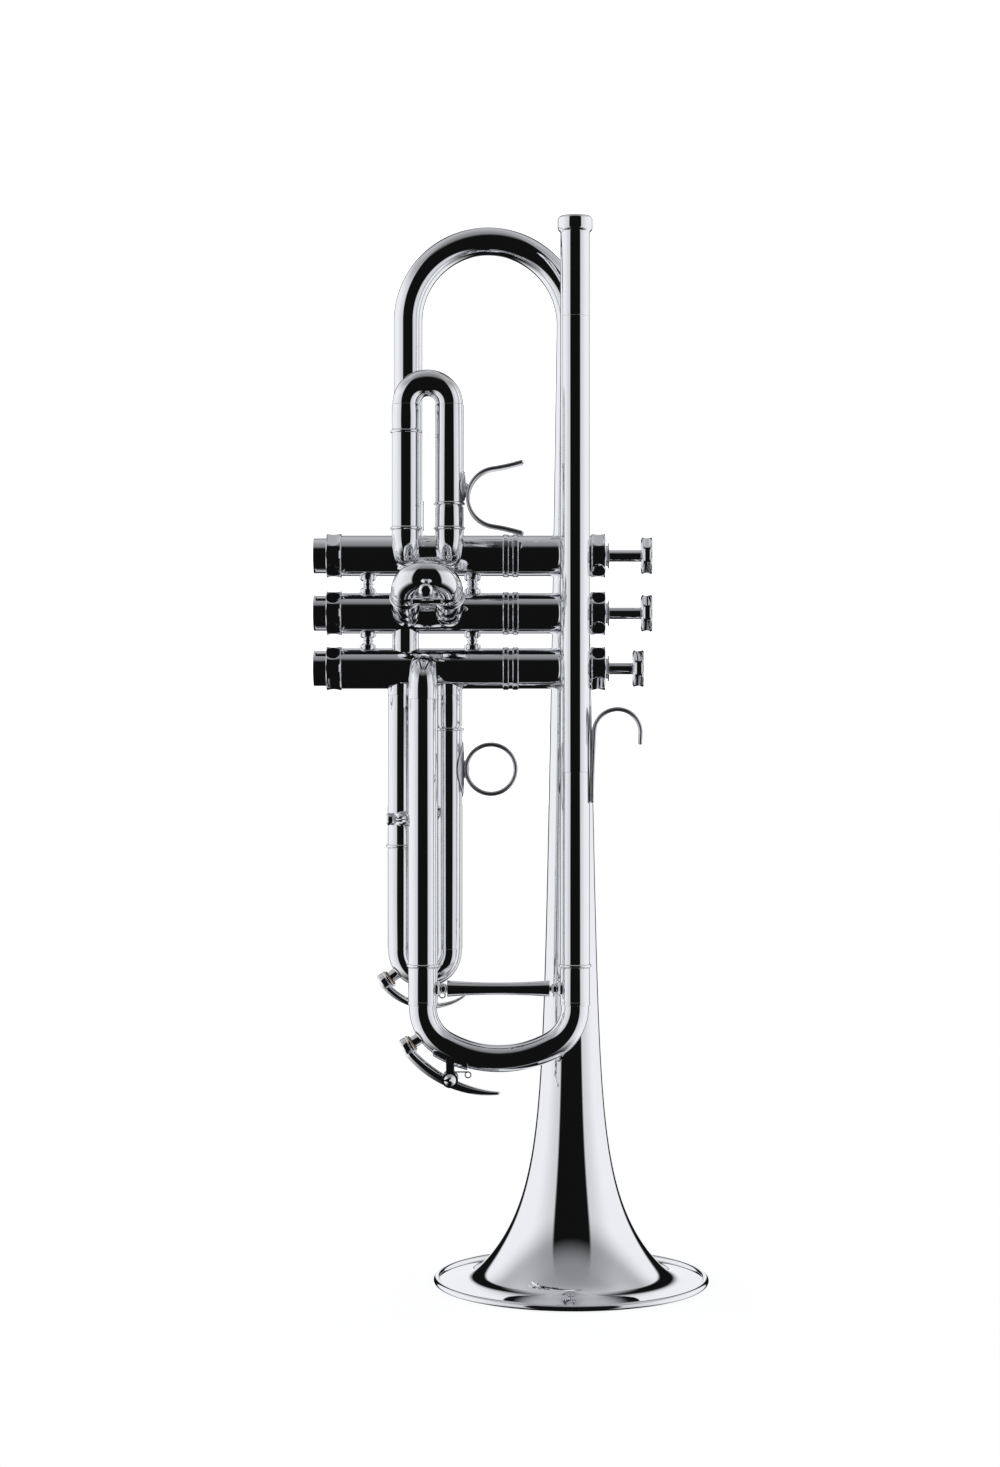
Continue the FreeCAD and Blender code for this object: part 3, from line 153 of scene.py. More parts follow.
silver = polished("silver_plate", (0.905, 0.912, 0.935, 1), (0.88, 0.87, 0.85, 1), 0.022, 0.05, 0.00001)


def unit(vector):
    vector = np.asarray(vector, float)
    return vector / np.linalg.norm(vector)


def across(axis):
    """Two directions at right angles to axis and to each other."""
    axis = unit(axis)
    first = unit(np.cross(axis, BACK if abs(axis[1]) < 0.9 else RIGHT))
    return first, np.cross(axis, first)


def turned(outline, base, axis, sides=96, radii=None):
    """Point = base + along * axis + radius * (cos a * first + sin a * second), a going round."""
    outline = np.asarray(outline, float)
    first, second = across(axis)
    a = np.linspace(0, 2 * np.pi, sides, endpoint=False)
    ring = np.cos(a)[:, None] * first + np.sin(a)[:, None] * second
    radius = outline[:, 1][:, None] * np.ones(sides) if radii is None else radii(outline, a)
    along = np.asarray(base, float) + outline[:, 0][:, None] * unit(axis)
    return along[:, None, :] + radius[:, :, None] * ring[None, :, :]


def soften(outline, radius, steps=5):
    """Each inner corner becomes a parabola from a point on one edge to a point on the next."""
    p = np.asarray(outline, float)
    here = p[1:-1]

    def towards(other):
        step = other - here
        length = np.linalg.norm(step, axis=1, keepdims=True)
        return here + step * np.minimum(radius / np.maximum(length, 1e-9), 0.45)

    s = np.linspace(0, 1, steps)[None, :, None]
    start = towards(p[:-2])[:, None]
    end = towards(p[2:])[:, None]
    curve = (1 - s) ** 2 * start + 2 * s * (1 - s) * here[:, None] + s**2 * end
    return np.vstack([p[:1], curve.reshape(-1, p.shape[1]), p[-1:]])


def skin(name, grids):
    """One mesh from grids of points in millimetres. Columns close on themselves; rows do too,
    unless the first row is a single point, which makes a pole."""
    corners = []
    quads = []
    offset = 0
    for grid in grids:
        rows, columns = grid.shape[:2]
        index = offset + np.arange(rows * columns).reshape(rows, columns)
        if not np.allclose(grid[0], grid[0, 0], atol=1e-6):
            index = np.vstack([index, index[:1]])
        side = np.roll(index, -1, axis=1)
        quads.append(np.stack([index[:-1], index[1:], side[1:], side[:-1]], axis=-1).reshape(-1, 4))
        corners.append(grid.reshape(-1, 3))
        offset += rows * columns
    mesh = bpy.data.meshes.new(name)
    mesh.from_pydata(np.vstack(corners) * MM, [], np.vstack(quads))
    return mesh


def close_and_smooth(mesh, sharp):
    """Merge doubled points, drop faces with no area, face outwards, shade smooth between creases."""
    work = bmesh.new()
    work.from_mesh(mesh)
    bmesh.ops.remove_doubles(work, verts=work.verts, dist=2e-7)
    bmesh.ops.dissolve_degenerate(work, edges=work.edges, dist=1e-7)
    bmesh.ops.recalc_face_normals(work, faces=work.faces)
    work.to_mesh(mesh)
    work.free()
    mesh.shade_smooth()
    mesh.set_sharp_from_angle(angle=math.radians(sharp))


def fit(name, body, finish, grids, stands_for, sharp=35):
    """Make one piece from point grids and put it on its body in place of its CAD nodes."""
    mesh = skin(name, grids)
    close_and_smooth(mesh, sharp)
    mesh.materials.append(finish)
    piece = bpy.data.objects.new(name, mesh)
    bpy.context.scene.collection.objects.link(piece)
    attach(piece, body)
    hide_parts(*stands_for)
    return piece


FLARE = 32.5
FLARE_FADE = 27.0
THROAT = 4.2
THROAT_FADE = 115.0
LIP = 72.0
LIP_FADE = 0.9
TAPER = 0.0145
STEM_TOP = 442.0
STEM = 6.6
SHEET = 0.5
RIM = 62.0
BEAD = 1.5
BEAD_HEIGHT = 1.4


def bell_radius(z):
    """Cone plus three terms that die away with height: throat, flare and turned-out lip."""
    cone = STEM + TAPER * (STEM_TOP - z)
    throat = THROAT * (np.exp(-z / THROAT_FADE) - math.exp(-STEM_TOP / THROAT_FADE))
    return cone + throat + FLARE * np.exp(-z / FLARE_FADE) + LIP * np.exp(-z / LIP_FADE)


def bell_outline():
    """Outside from stem to lip, round the rolled bead, and back up the inside a sheet thinner."""
    z = np.concatenate([np.linspace(STEM_TOP, 60, 500), np.geomspace(60, 1.3, 3000)[1:]])
    r = bell_radius(z)
    length = np.concatenate([[0], np.cumsum(np.hypot(np.diff(z), np.diff(r)))])
    even = np.linspace(0, length[-1], 215)
    z, r = np.interp(even, length, z), np.interp(even, length, r)
    slope = np.gradient(r, z)
    lean = np.hypot(slope, 1.0)
    outside = np.stack([z, r], axis=1)
    inside = np.stack([z + SHEET * slope / lean, r - SHEET / lean], axis=1)
    inside[0, 0] = STEM_TOP
    clear = []
    for line in (outside, inside):
        met = np.hypot(line[:, 1] - RIM, line[:, 0] - BEAD_HEIGHT) <= BEAD
        clear.append(line[:np.argmax(met)])
    ends = [math.atan2(line[-1, 0] - BEAD_HEIGHT, line[-1, 1] - RIM) % (2 * math.pi) for line in clear]
    a = np.linspace(ends[0], ends[1] - 2 * math.pi, 42)
    bead = np.stack([np.maximum(BEAD_HEIGHT + BEAD * np.sin(a), 0.0), RIM + BEAD * np.cos(a)], axis=1)
    return np.vstack([clear[0], bead, clear[1][::-1]])


bell = turned(bell_outline(), (0, 0, 0), UP, sides=224)
fit("bell_with_rolled_rim", "horn", silver, [bell], ["bell_flare"], sharp=50)

# ---------------------------------------------------------------- bell bow and tail
# The bow is bent from drawn tube on the same mandrel line as the bell's stem. A ferrule joins it
# to the knuckle that enters the first valve. All are soft-soldered and plated together.


def straight(start, end, count=2):
    """Points that divide the line from start to end evenly."""
    share = np.linspace(0, 1, count)[:, None]
    return np.asarray(start, float) * (1 - share) + np.asarray(end, float) * share


def arc(centre, first, second, radius, start, end, count=40):
    """Point = centre + radius * (cos a * first + sin a * second), a from start to end in degrees."""
    a = np.radians(np.linspace(start, end, count))[:, None]
    return np.asarray(centre, float) + radius * (np.cos(a) * unit(first) + np.sin(a) * unit(second))


def pipe(path, normal, outer, inner, sides=64):
    """Ring at each path point: radius * (cos a * normal + sin a * tangent x normal). The outside
    runs forwards and the inside back, so the wall closes on itself at both ends."""
    keep = np.concatenate([[True], np.linalg.norm(np.diff(path, axis=0), axis=1) > 1e-6])
    path = path[keep]
    step = np.gradient(path, axis=0)
    step /= np.linalg.norm(step, axis=1, keepdims=True)
    side = np.cross(step, unit(normal))
    a = np.linspace(0, 2 * np.pi, sides, endpoint=False)[None, :, None]
    ring = np.cos(a) * unit(normal)[None, None, :] + np.sin(a) * side[:, None, :]
    outside = path[:, None, :] + outer * ring
    inside = path[:, None, :] + inner * ring
    return np.vstack([outside, inside[::-1]])


def middle(node):
    """Centre of a CAD node's box, in millimetres."""
    low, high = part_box(node)
    return (np.array(low) + np.array(high)) / 2 / MM


TAIL = np.array([-75.0, -8.0])
half_span = np.array([TAIL[0] / 2, TAIL[1] / 2, 0.0])
bow_radius = np.linalg.norm(half_span)
crown = arc(half_span + UP * STEM_TOP, -half_span, UP, bow_radius, 0, 180, 96)
FERRULE_FOOT = 346.0
FERRULE_HEAD = 360.0
drop = straight((*TAIL, STEM_TOP), (*TAIL, FERRULE_FOOT))
bow = pipe(np.vstack([crown, drop]), np.cross(half_span, UP), STEM, STEM - SHEET, sides=96)
fit("bell_bow_tube", "horn", silver, [bow], ["bell_bow"])


EDGE = 0.18


def tube(start, end, outer, inner, rings=(), height=0.7, half=0.75, sides=80):
    """A straight tube with eased ends. Rings are places along it that carry a half-round bead:
    radius = outer + height * sin a, along = place + half * cos a, a from 180 to 0 degrees."""
    start = np.asarray(start, float)
    run = np.asarray(end, float) - start
    length = np.linalg.norm(run)
    points = [[(0.0, inner), (0.0, outer - EDGE), (EDGE / 3, outer - EDGE / 3), (EDGE, outer)]]
    a = np.linspace(np.pi, 0, 13)
    for place in sorted(rings):
        points.append(np.stack([place + half * np.cos(a), outer + height * np.sin(a)], axis=1))
    points.append([
        (length - EDGE, outer), (length - EDGE / 3, outer - EDGE / 3),
        (length, outer - EDGE), (length, inner),
    ])
    return turned(np.vstack(points), start, run, sides)


VALVE_Y = -20.0
CASING_Z = [middle("valve_casing_%d" % number)[2] for number in (1, 2, 3)]
SEAT = 9.0


def seated(grid, *casings):
    """Points that fall inside a casing's wall move straight out from its axis to radius SEAT,
    which leaves the tube's end bedded in the wall."""
    for z in casings:
        axis = np.array([VALVE_Y, z])
        away = grid[..., 1:] - axis
        distance = np.linalg.norm(away, axis=-1, keepdims=True)
        stretch = np.maximum(1.0, SEAT / np.maximum(distance, 1e-6))
        grid = np.concatenate([grid[..., :1], axis + away * stretch], axis=-1)
    return grid


ferrule_ends = (*TAIL, FERRULE_FOOT), (*TAIL, FERRULE_HEAD)
ferrule = tube(*ferrule_ends, STEM + 0.6, STEM, (1.2, 12.8), 0.25, 0.6)
fit("bell_tail_ferrule_band", "horn", silver, [ferrule], ["bell_tail_ferrule"])


def trimmed(name, node, body, finish, sharp=32):
    """A merged copy of a CAD node whose ends are cut to meet another tube, shaded smooth."""
    mesh = frame["nodes"][node].data.copy()
    mesh.name = name
    mesh.materials.clear()
    mesh.materials.append(finish)
    close_and_smooth(mesh, sharp)
    piece = bpy.data.objects.new(name, mesh)
    bpy.context.scene.collection.objects.link(piece)
    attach(piece, body)
    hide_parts(node)
    return piece


KNUCKLE = 8.0
turn_z = CASING_Z[0] + KNUCKLE + 1.0
tail_path = np.vstack([
    straight((*TAIL, FERRULE_FOOT), (*TAIL, turn_z)),
    arc((TAIL[0], TAIL[1] - KNUCKLE, turn_z), BACK, -UP, KNUCKLE, 0, 90, 48),
])
elbow = seated(pipe(tail_path, RIGHT, STEM, STEM - SHEET, 96), CASING_Z[0])
fit("bell_tail_elbow", "horn", silver, [elbow], ["bell_tail_knuckle"])

# ---------------------------------------------------------------- leadpipe and receiver
# The mouthpiece receiver is turned from bar and sleeved over the leadpipe. The leadpipe and the
# upper outer slide tube run down in one line beside the bell, held off it by two stays.

LEAD = np.array([middle("leadpipe")[0], middle("leadpipe")[1]])
LEAD_RADIUS = 6.6
SOCKET_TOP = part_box("mouthpiece_receiver")[1][2] / MM
RECEIVER_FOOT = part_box("mouthpiece_receiver")[0][2] / MM
BEAD_FOOT = SOCKET_TOP - 6.7
SOCKET = 4.95
SOCKET_END = SOCKET_TOP - 24.0
PIPE_MOUTH = 4.4

receiver = soften([
    (RECEIVER_FOOT, PIPE_MOUTH), (RECEIVER_FOOT, LEAD_RADIUS), (BEAD_FOOT - 0.5, LEAD_RADIUS),
    (BEAD_FOOT, 7.2), (BEAD_FOOT + 0.9, 7.85), (SOCKET_TOP - 1.1, 7.85), (SOCKET_TOP, 7.0),
    (SOCKET_TOP, 5.6), (SOCKET_TOP - 0.7, SOCKET), (SOCKET_END, SOCKET), (SOCKET_END, PIPE_MOUTH),
    (RECEIVER_FOOT, PIPE_MOUTH),
], 0.5)[:-1]
receiver = turned(receiver, (*LEAD, 0), UP, 96)
fit("mouthpiece_receiver_turned", "horn", silver, [receiver], ["mouthpiece_receiver"])

lead_foot, lead_top = (corner[2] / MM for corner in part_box("leadpipe"))
leadpipe_section = [
    (lead_foot, 6.0), (lead_foot, LEAD_RADIUS), (lead_top, LEAD_RADIUS), (lead_top, PIPE_MOUTH),
]
leadpipe = turned(leadpipe_section, (*LEAD, 0), UP, 96)
fit("leadpipe_tube", "horn", silver, [leadpipe], ["leadpipe"])

RING_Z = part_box("upper_slide_tube")[0][2] / MM
SLIDE_BORE = 6.1
HALF_RING = 0.75
upper_ring = lead_foot - RING_Z - HALF_RING
upper = tube((*LEAD, lead_foot), (*LEAD, RING_Z), LEAD_RADIUS, SLIDE_BORE, (upper_ring,), sides=96)
fit("upper_outer_slide", "horn", silver, [upper], ["upper_slide_tube"])

LOWER_X = middle("lower_slide_tube")[0]
lower_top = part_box("lower_slide_tube")[1][2] / MM
lower_ends = (LOWER_X, LEAD[1], lower_top), (LOWER_X, LEAD[1], RING_Z)
lower_ring = lower_top - RING_Z - HALF_RING
lower = tube(*lower_ends, LEAD_RADIUS, SLIDE_BORE, (lower_ring,), sides=96)
fit("lower_outer_slide", "horn", silver, [lower], ["lower_slide_tube"])
LOWER_KNUCKLE = 10.0
turn_z = CASING_Z[2] - LOWER_KNUCKLE
lower_path = np.vstack([
    straight((LOWER_X, LEAD[1], lower_top), (LOWER_X, LEAD[1], turn_z)),
    arc((LOWER_X, LEAD[1] + LOWER_KNUCKLE, turn_z), -BACK, UP, LOWER_KNUCKLE, 0, 90, 48),
])
elbow = seated(pipe(lower_path, RIGHT, LEAD_RADIUS, LEAD_RADIUS - SHEET, 96), CASING_Z[2])
fit("lower_slide_elbow", "horn", silver, [elbow], ["lower_slide_knuckle"])
trimmed("leadpipe_stays", "bell_braces", "horn", silver)
trimmed("casing_to_pipe_saddles", "casing_saddles", "horn", silver)

# ---------------------------------------------------------------- valve casings
# Each casing is two tubes that meet at a double-beaded balance ring. The bottom and top caps
# screw on; their bands are ground with eight flats, and turned balusters hold the casings apart.

CASING = 9.45
BORE = 8.45
FLATS = 8


def ground_flats(low, high, depth, crown):
    """Radius = the smaller of the outline's and apothem / cos(angle from the nearest flat's
    centre); the apothem grows from the band's middle to its edges, which rounds each flat."""

    def radii(outline, a):
        pitch = 2 * np.pi / FLATS
        away = (a + pitch / 2) % pitch - pitch / 2
        share = (outline[:, 0] - (low + high) / 2) / ((high - low) / 2)
        apothem = outline[:, 1].max() - depth + crown * share**2
        apothem = np.where(np.abs(share) < 1.0, apothem, 1e3)[:, None]
        return np.minimum(outline[:, 1][:, None], apothem / np.cos(away)[None, :])

    return radii


def dense(outline, gap):
    """The same outline with extra points, so that none of its runs is longer than gap."""
    outline = np.asarray(outline, float)
    runs = np.linalg.norm(np.diff(outline, axis=0), axis=1)
    counts = np.maximum(1, np.ceil(runs / gap)).astype(int)
    parts = [straight(a, b, n + 1)[:-1] for a, b, n in zip(outline[:-1], outline[1:], counts)]
    return np.vstack(parts + [outline[-1:]])


BALANCE = 9.98
casing_section = soften([
    (-110.4, BORE), (-110.4, 9.0), (-104.6, 9.0), (-104.6, CASING), (-31.4, CASING), (-31.3, BALANCE),
    (-29.1, BALANCE), (-29.0, CASING + 0.1), (-27.0, CASING + 0.1), (-26.9, BALANCE),
    (-24.7, BALANCE), (-24.6, CASING),
    (8.6, CASING), (8.6, 9.0), (13.0, 9.0), (13.0, BORE),
], 0.22, 7)
for number, z in enumerate(CASING_Z, 1):
    casing = turned(casing_section, (0, VALVE_Y, z), RIGHT, 128)
    node = "valve_casing_%d" % number
    fit("valve_casing_tube_%d" % number, "horn", silver, [casing], [node])

CAP = 10.2
FLAT_DEPTH = 0.75
FLAT_CROWN = 0.6
bottom_section = dense(soften([
    (-104.6, 9.05), (-104.6, 9.9), (-104.9, CAP), (-111.1, CAP), (-111.4, 9.9), (-111.4, 8.15),
    (-117.3, 8.15), (-117.3, 1.5), (-116.1, 1.5), (-116.1, 6.9), (-111.0, 6.9), (-111.0, 9.05),
], 0.15), 0.35)
flats = ground_flats(-111.4, -105.0, FLAT_DEPTH, FLAT_CROWN)
caps = [turned(bottom_section, (0, VALVE_Y, z), RIGHT, 192, flats) for z in CASING_Z]
fit("bottom_caps_ground", "horn", silver, caps, ["bottom_caps"], sharp=20)

top_section = dense(soften([
    (8.6, 9.05), (8.6, 9.9), (8.9, CAP), (14.6, CAP), (14.9, 9.9), (14.9, 4.7), (15.4, 4.5),
    (15.7, 4.7), (16.1, 4.7), (16.1, 5.9), (16.7, 5.8), (16.7, 2.79), (13.0, 2.79), (13.0, 9.05),
], 0.12), 0.35)
flats = ground_flats(8.6, 14.9, FLAT_DEPTH, FLAT_CROWN)
caps = [turned(top_section, (0, VALVE_Y, z), RIGHT, 192, flats) for z in CASING_Z]
fit("top_caps_ground", "horn", silver, caps, ["top_caps"], sharp=20)

trimmed("baluster_spools", "casing_balusters", "horn", silver)
CROSS = 6.2
crossovers = []
for high_z, low_z, x in ((CASING_Z[0], CASING_Z[1], -65.3), (CASING_Z[1], CASING_Z[2], -75.8)):
    path = straight((x, VALVE_Y, high_z - 6.0), (x, VALVE_Y, low_z + 6.0), 60)
    crossovers.append(seated(pipe(path, RIGHT, CROSS, CROSS - SHEET, 72), high_z, low_z))
fit("valve_crossovers", "horn", silver, crossovers, ["crossover_tubes"])

# ---------------------------------------------------------------- pistons, stems and finger buttons
# Pistons are lapped nickel alloy with drilled passages. A plated stem screws into each, and a
# dished button with a ground edge screws onto the stem. The third stands lower than the others.

monel = polished("lapped_monel", (0.60, 0.58, 0.55, 1), (0.46, 0.44, 0.41, 1), 0.16, 0.16, 0.00002)
steel = polished("spring_wire", (0.42, 0.42, 0.43, 1), (0.28, 0.27, 0.26, 1), 0.22, 0.15, 0.00002)
brass = polished("rim_wire_brass", (0.80, 0.62, 0.30, 1), (0.60, 0.44, 0.22, 1), 0.20, 0.12, 0.00002)
nickel = polished("slide_leg_nickel", (0.72, 0.70, 0.66, 1), (0.60, 0.57, 0.52, 1), 0.10, 0.10, 0.00002)


def speckled(name, light, dark, scale, rough, depth):
    """Soft solid: two noises set the colour and the roughness, and pits go into the bump."""
    finish = new_finish(name, 0.0, rough)
    place = finish.node("ShaderNodeTexCoord", out=3)
    grain = finish.node("ShaderNodeTexNoise", {}, {"Vector": place, "Scale": scale, "Detail": 6.0})
    pits = finish.node("ShaderNodeTexVoronoi", {}, {"Vector": place, "Scale": scale * 1.4})
    finish.feed("Base Color", finish.blend(finish.between(grain, 0.35, 0.68), dark, light))
    finish.feed("Roughness", rough - 0.12 * grain + 0.1 * pits)
    bump = {"Strength": 0.35, "Distance": depth, "Height": pits * 0.6 + grain}
    finish.feed("Normal", finish.node("ShaderNodeBump", {}, bump))
    return finish.owner


cork = speckled("natural_cork", (0.62, 0.43, 0.25, 1), (0.30, 0.17, 0.08, 1), 1800.0, 0.85, 0.0002)
nylon = speckled("guide_nylon", (0.88, 0.87, 0.82, 1), (0.80, 0.78, 0.72, 1), 900.0, 0.5, 0.00003)


def dress(node, finish):
    """Give a CAD node that stays in view its own finish."""
    for slot in frame["nodes"][node].material_slots:
        slot.material = finish


joints = frame["record"]["behaviour"]["joints"]
travels = {joint["name"]: joint["range_m"][1] for joint in joints if "range_m" in joint}
for number, z in enumerate(CASING_Z, 1):
    dress("piston_%d" % number, monel)
    body = "valve_%d" % number
    node = "valve_spring_%d" % number
    coil = trimmed("coil_spring_wire_%d" % number, node, body, steel)
    guide_end, barrel_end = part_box(node)
    keep = 1 - travels[body + "_press"] / (barrel_end[0] - guide_end[0])
    body + "_press"
    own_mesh(coil)
    button_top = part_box("finger_button_%d" % number)[1][0] / MM
    stem_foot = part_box("valve_stem_%d" % number)[0][0] / MM + 1.5
    back = button_top - 5.2
    stem = turned(soften([
        (stem_foot, 0), (stem_foot, 5.0), (stem_foot + 1.6, 5.0), (stem_foot + 1.6, 2.7), (back, 2.7),
        (back, 1.45), (back + 2.9, 1.45), (back + 2.9, 0),
    ], 0.15), (0, VALVE_Y, z), RIGHT, 64)
    fit("plated_stem_%d" % number, body, silver, [stem], ["valve_stem_%d" % number])
    button_section = dense(soften([
        (back, 1.5), (back, 7.2), (back + 0.5, 8.3), (back + 1.0, 8.65), (back + 4.0, 8.65),
        (back + 4.9, 8.3), (back + 5.2, 7.9), (back + 4.9, 7.2), (back + 4.5, 5.0),
        (back + 4.35, 0), (back + 3.0, 0), (back + 3.0, 1.5),
    ], 0.15), 0.3)
    flats = ground_flats(back + 0.6, back + 4.6, 0.8, 0.7)
    shape = turned(button_section, (0, VALVE_Y, z), RIGHT, 192, flats)
    node = "finger_button_%d" % number
    fit("finger_button_dished_%d" % number, body, silver, [shape], [node], sharp=20)

dress("valve_guides", nylon)
dress("bell_rim_wire", brass)

# ---------------------------------------------------------------- main tuning slide
# Two nickel-silver legs run in the outer tubes. The crook joins them in one wide sweep, a waisted
# stay keeps them parallel, and plain ferrules cover the joints.

FERRULE_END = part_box("tuning_slide_ferrules")[0][2] / MM
CROOK = 6.2
CORNER = 19.0
SWEEP = 50.0
half = (LEAD[0] - LOWER_X) / 2
centre_x = (LEAD[0] + LOWER_X) / 2
corner_z = FERRULE_END - 1.0
sine = (half - CORNER) / (SWEEP - CORNER)
turn = math.degrees(math.acos(sine))
sweep_z = corner_z + (SWEEP - CORNER) * math.sqrt(1 - sine * sine)
left_leg = straight((LOWER_X, LEAD[1], FERRULE_END), (LOWER_X, LEAD[1], corner_z))
left_turn = arc((centre_x - half + CORNER, LEAD[1], corner_z), -RIGHT, -UP, CORNER, 0, turn, 40)
base_turn = arc((centre_x, LEAD[1], sweep_z), -RIGHT, -UP, SWEEP, turn, 180 - turn, 60)
right_turn = arc((centre_x + half - CORNER, LEAD[1], corner_z), -RIGHT, -UP, CORNER, 180 - turn, 180, 40)
right_leg = straight((LEAD[0], LEAD[1], corner_z), (LEAD[0], LEAD[1], FERRULE_END))
crook_path = np.vstack([left_leg, left_turn, base_turn, right_turn, right_leg])
crook = pipe(crook_path, BACK, CROOK, CROOK - SHEET, 96)
fit("tuning_crook_tube", "tuning_slide", silver, [crook], ["tuning_slide_crook"])

FERRULE_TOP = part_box("tuning_slide_ferrules")[1][2] / MM
ferrules = [
    tube((x, LEAD[1], FERRULE_END), (x, LEAD[1], FERRULE_TOP), LEAD_RADIUS, 6.02, (0.9,), 0.12, 0.7, 96)
    for x in (LOWER_X, LEAD[0])
]
fit("tuning_slide_collars", "tuning_slide", silver, ferrules, ["tuning_slide_ferrules"])
dress("tuning_slide_legs", nickel)

STAY_Z = middle("tuning_slide_brace")[2]
bar_from = LOWER_X + LEAD_RADIUS + 4.4
bar_to = LEAD[0] - LEAD_RADIUS - 5.0
share = np.linspace(0, 1, 40)
waist = 3.7 - 0.95 * (1 - (2 * share - 1) ** 2)
bar = np.vstack([
    [(bar_from - 3.4, 0), (bar_from - 3.4, 1.5), (bar_from - 0.2, 1.5), (bar_from - 0.2, 3.4)],
    np.stack([bar_from + share * (bar_to - bar_from), waist], axis=1),
    [(bar_to + 0.2, 3.4), (bar_to + 0.2, 1.5), (bar_to + 3.4, 1.5), (bar_to + 3.4, 0)],
])
stay = [turned(bar, (0, LEAD[1], STAY_Z), RIGHT, 72)]
ball = np.radians(np.linspace(180, 0, 25))
for x, side in ((LOWER_X, 1), (LEAD[0], -1)):
    foot = soften([
        (LEAD_RADIUS - 1.0, 0), (LEAD_RADIUS - 1.0, 3.9), (LEAD_RADIUS + 0.5, 3.5), (LEAD_RADIUS + 1.5, 1.8),
        (LEAD_RADIUS + 1.5, 0),
    ], 0.4)
    round_end = np.stack([LEAD_RADIUS + 2.4 + 2.3 * np.cos(ball), 2.3 * np.sin(ball)], axis=1)
    stay.append(turned(foot, (x, LEAD[1], STAY_Z), side * RIGHT, 64))
    stay.append(turned(round_end, (x, LEAD[1], STAY_Z), side * RIGHT, 64))
fit("tuning_slide_stay", "tuning_slide", silver, stay, ["tuning_slide_brace"])

# ---------------------------------------------------------------- first slide
# Two knuckles leave the first casing and turn upwards. The left leg slides inside its outer tube,
# the right leg is the sliding sleeve, and both end in small beads. A bent crook joins them.

TUBE = 6.5
LEG = 5.92
crook_low, crook_high = (np.array(corner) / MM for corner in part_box("first_slide_crook"))
PORTS = (crook_low[0] + CROOK, crook_high[0] - CROOK)
FIRST_Y = (crook_low[1] + crook_high[1]) / 2
FIRST_TOP = crook_low[2]
LEFT_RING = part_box("first_casing_tubes")[1][2] / MM - 8.5
RIGHT_RING = FIRST_TOP - 45.4
KNUCKLE_TOP = CASING_Z[0] + KNUCKLE + 2.5

knuckles = []
for x in PORTS:
    path = np.vstack([
        straight((x, FIRST_Y, KNUCKLE_TOP), (x, FIRST_Y, KNUCKLE_TOP - 1.5)),
        arc((x, FIRST_Y + KNUCKLE, KNUCKLE_TOP - 1.5), -BACK, -UP, KNUCKLE, 0, 90, 48),
    ])
    knuckles.append(seated(pipe(path, RIGHT, TUBE, TUBE - SHEET, 88), CASING_Z[0]))
fit("first_slide_elbows", "horn", silver, knuckles, ["first_slide_knuckles"])

left, right = PORTS
left_rings = (1.0, LEFT_RING - KNUCKLE_TOP - HALF_RING)
fixed = [
    tube((left, FIRST_Y, KNUCKLE_TOP), (left, FIRST_Y, LEFT_RING), TUBE, TUBE - SHEET, left_rings),
    tube((right, FIRST_Y, KNUCKLE_TOP), (right, FIRST_Y, RIGHT_RING - 0.6), TUBE, LEG - 0.4, (1.0,)),
    tube((right, FIRST_Y, KNUCKLE_TOP + 1), (right, FIRST_Y, FIRST_TOP - 3), LEG, LEG - 0.4),
]
fit("first_slide_outer_tubes", "horn", silver, fixed, ["first_casing_tubes"])
moving = [
    tube((left, FIRST_Y, LEFT_RING + 0.3), (left, FIRST_Y, FIRST_TOP), TUBE, LEG - 0.2, sides=88),
    tube((left, FIRST_Y, LEFT_RING - 42.0), (left, FIRST_Y, FIRST_TOP - 1), LEG, LEG - 0.4),
    tube((right, FIRST_Y, RIGHT_RING), (right, FIRST_Y, FIRST_TOP), TUBE, TUBE - SHEET, (HALF_RING,)),
]
fit("first_slide_sleeves", "first_slide", silver, moving, ["first_slide_legs"])

first_centre = np.array([(left + right) / 2, FIRST_Y, FIRST_TOP])
bend = (right - left) / 2
first = pipe(arc(first_centre, -RIGHT, UP, bend, 0, 180, 72), BACK, CROOK, CROOK - SHEET, 88)
fit("first_crook_tube", "first_slide", silver, [first], ["first_slide_crook"])

# ---------------------------------------------------------------- second slide
# It is the short one. Its tubes leave the middle casing level, turn upwards through elbows, and end
# in a crook with a turned pull knob under it. A round bar ties the legs together.

joint_axes = {joint["name"]: joint["axis"] for joint in joints}
second_way = unit(joint_axes["second_slide_pull"])
ELBOW = 10.0
SLEEVE_END = 7.2
SECOND_TOP = 12.0
tilt = math.degrees(math.atan2(second_way[2], -second_way[1]))
below = np.array([0.0, -second_way[2], second_way[1]])
sleeves = []
collars = []
tops = []
for x in PORTS:
    start = np.array([x, VALVE_Y - CASING, CASING_Z[1]])
    turn_centre = start + ELBOW * UP
    root = turn_centre + ELBOW * below
    stub = straight(start + 3.0 * BACK, start, 14)
    path = np.vstack([stub, arc(turn_centre, -UP, -BACK, ELBOW, 0, tilt, 32)])
    sleeves.append(seated(pipe(path, RIGHT, TUBE, TUBE - SHEET, 88), CASING_Z[1]))
    sleeves.append(tube(root, root + SLEEVE_END * second_way, TUBE, TUBE - SHEET, (SLEEVE_END - HALF_RING,)))
    top = root + SECOND_TOP * second_way
    collars.append(tube(root + (SLEEVE_END + 0.3) * second_way, top, TUBE, LEG - 0.2, sides=88))
    collars.append(tube(root + 0.3 * second_way, top - 1.0 * second_way, LEG, LEG - 0.4))
    tops.append(top)
fit("second_slide_outer_tubes", "horn", silver, sleeves, ["second_casing_tubes"])
fit("second_slide_sleeves", "second_slide", silver, collars, ["second_slide_legs"])
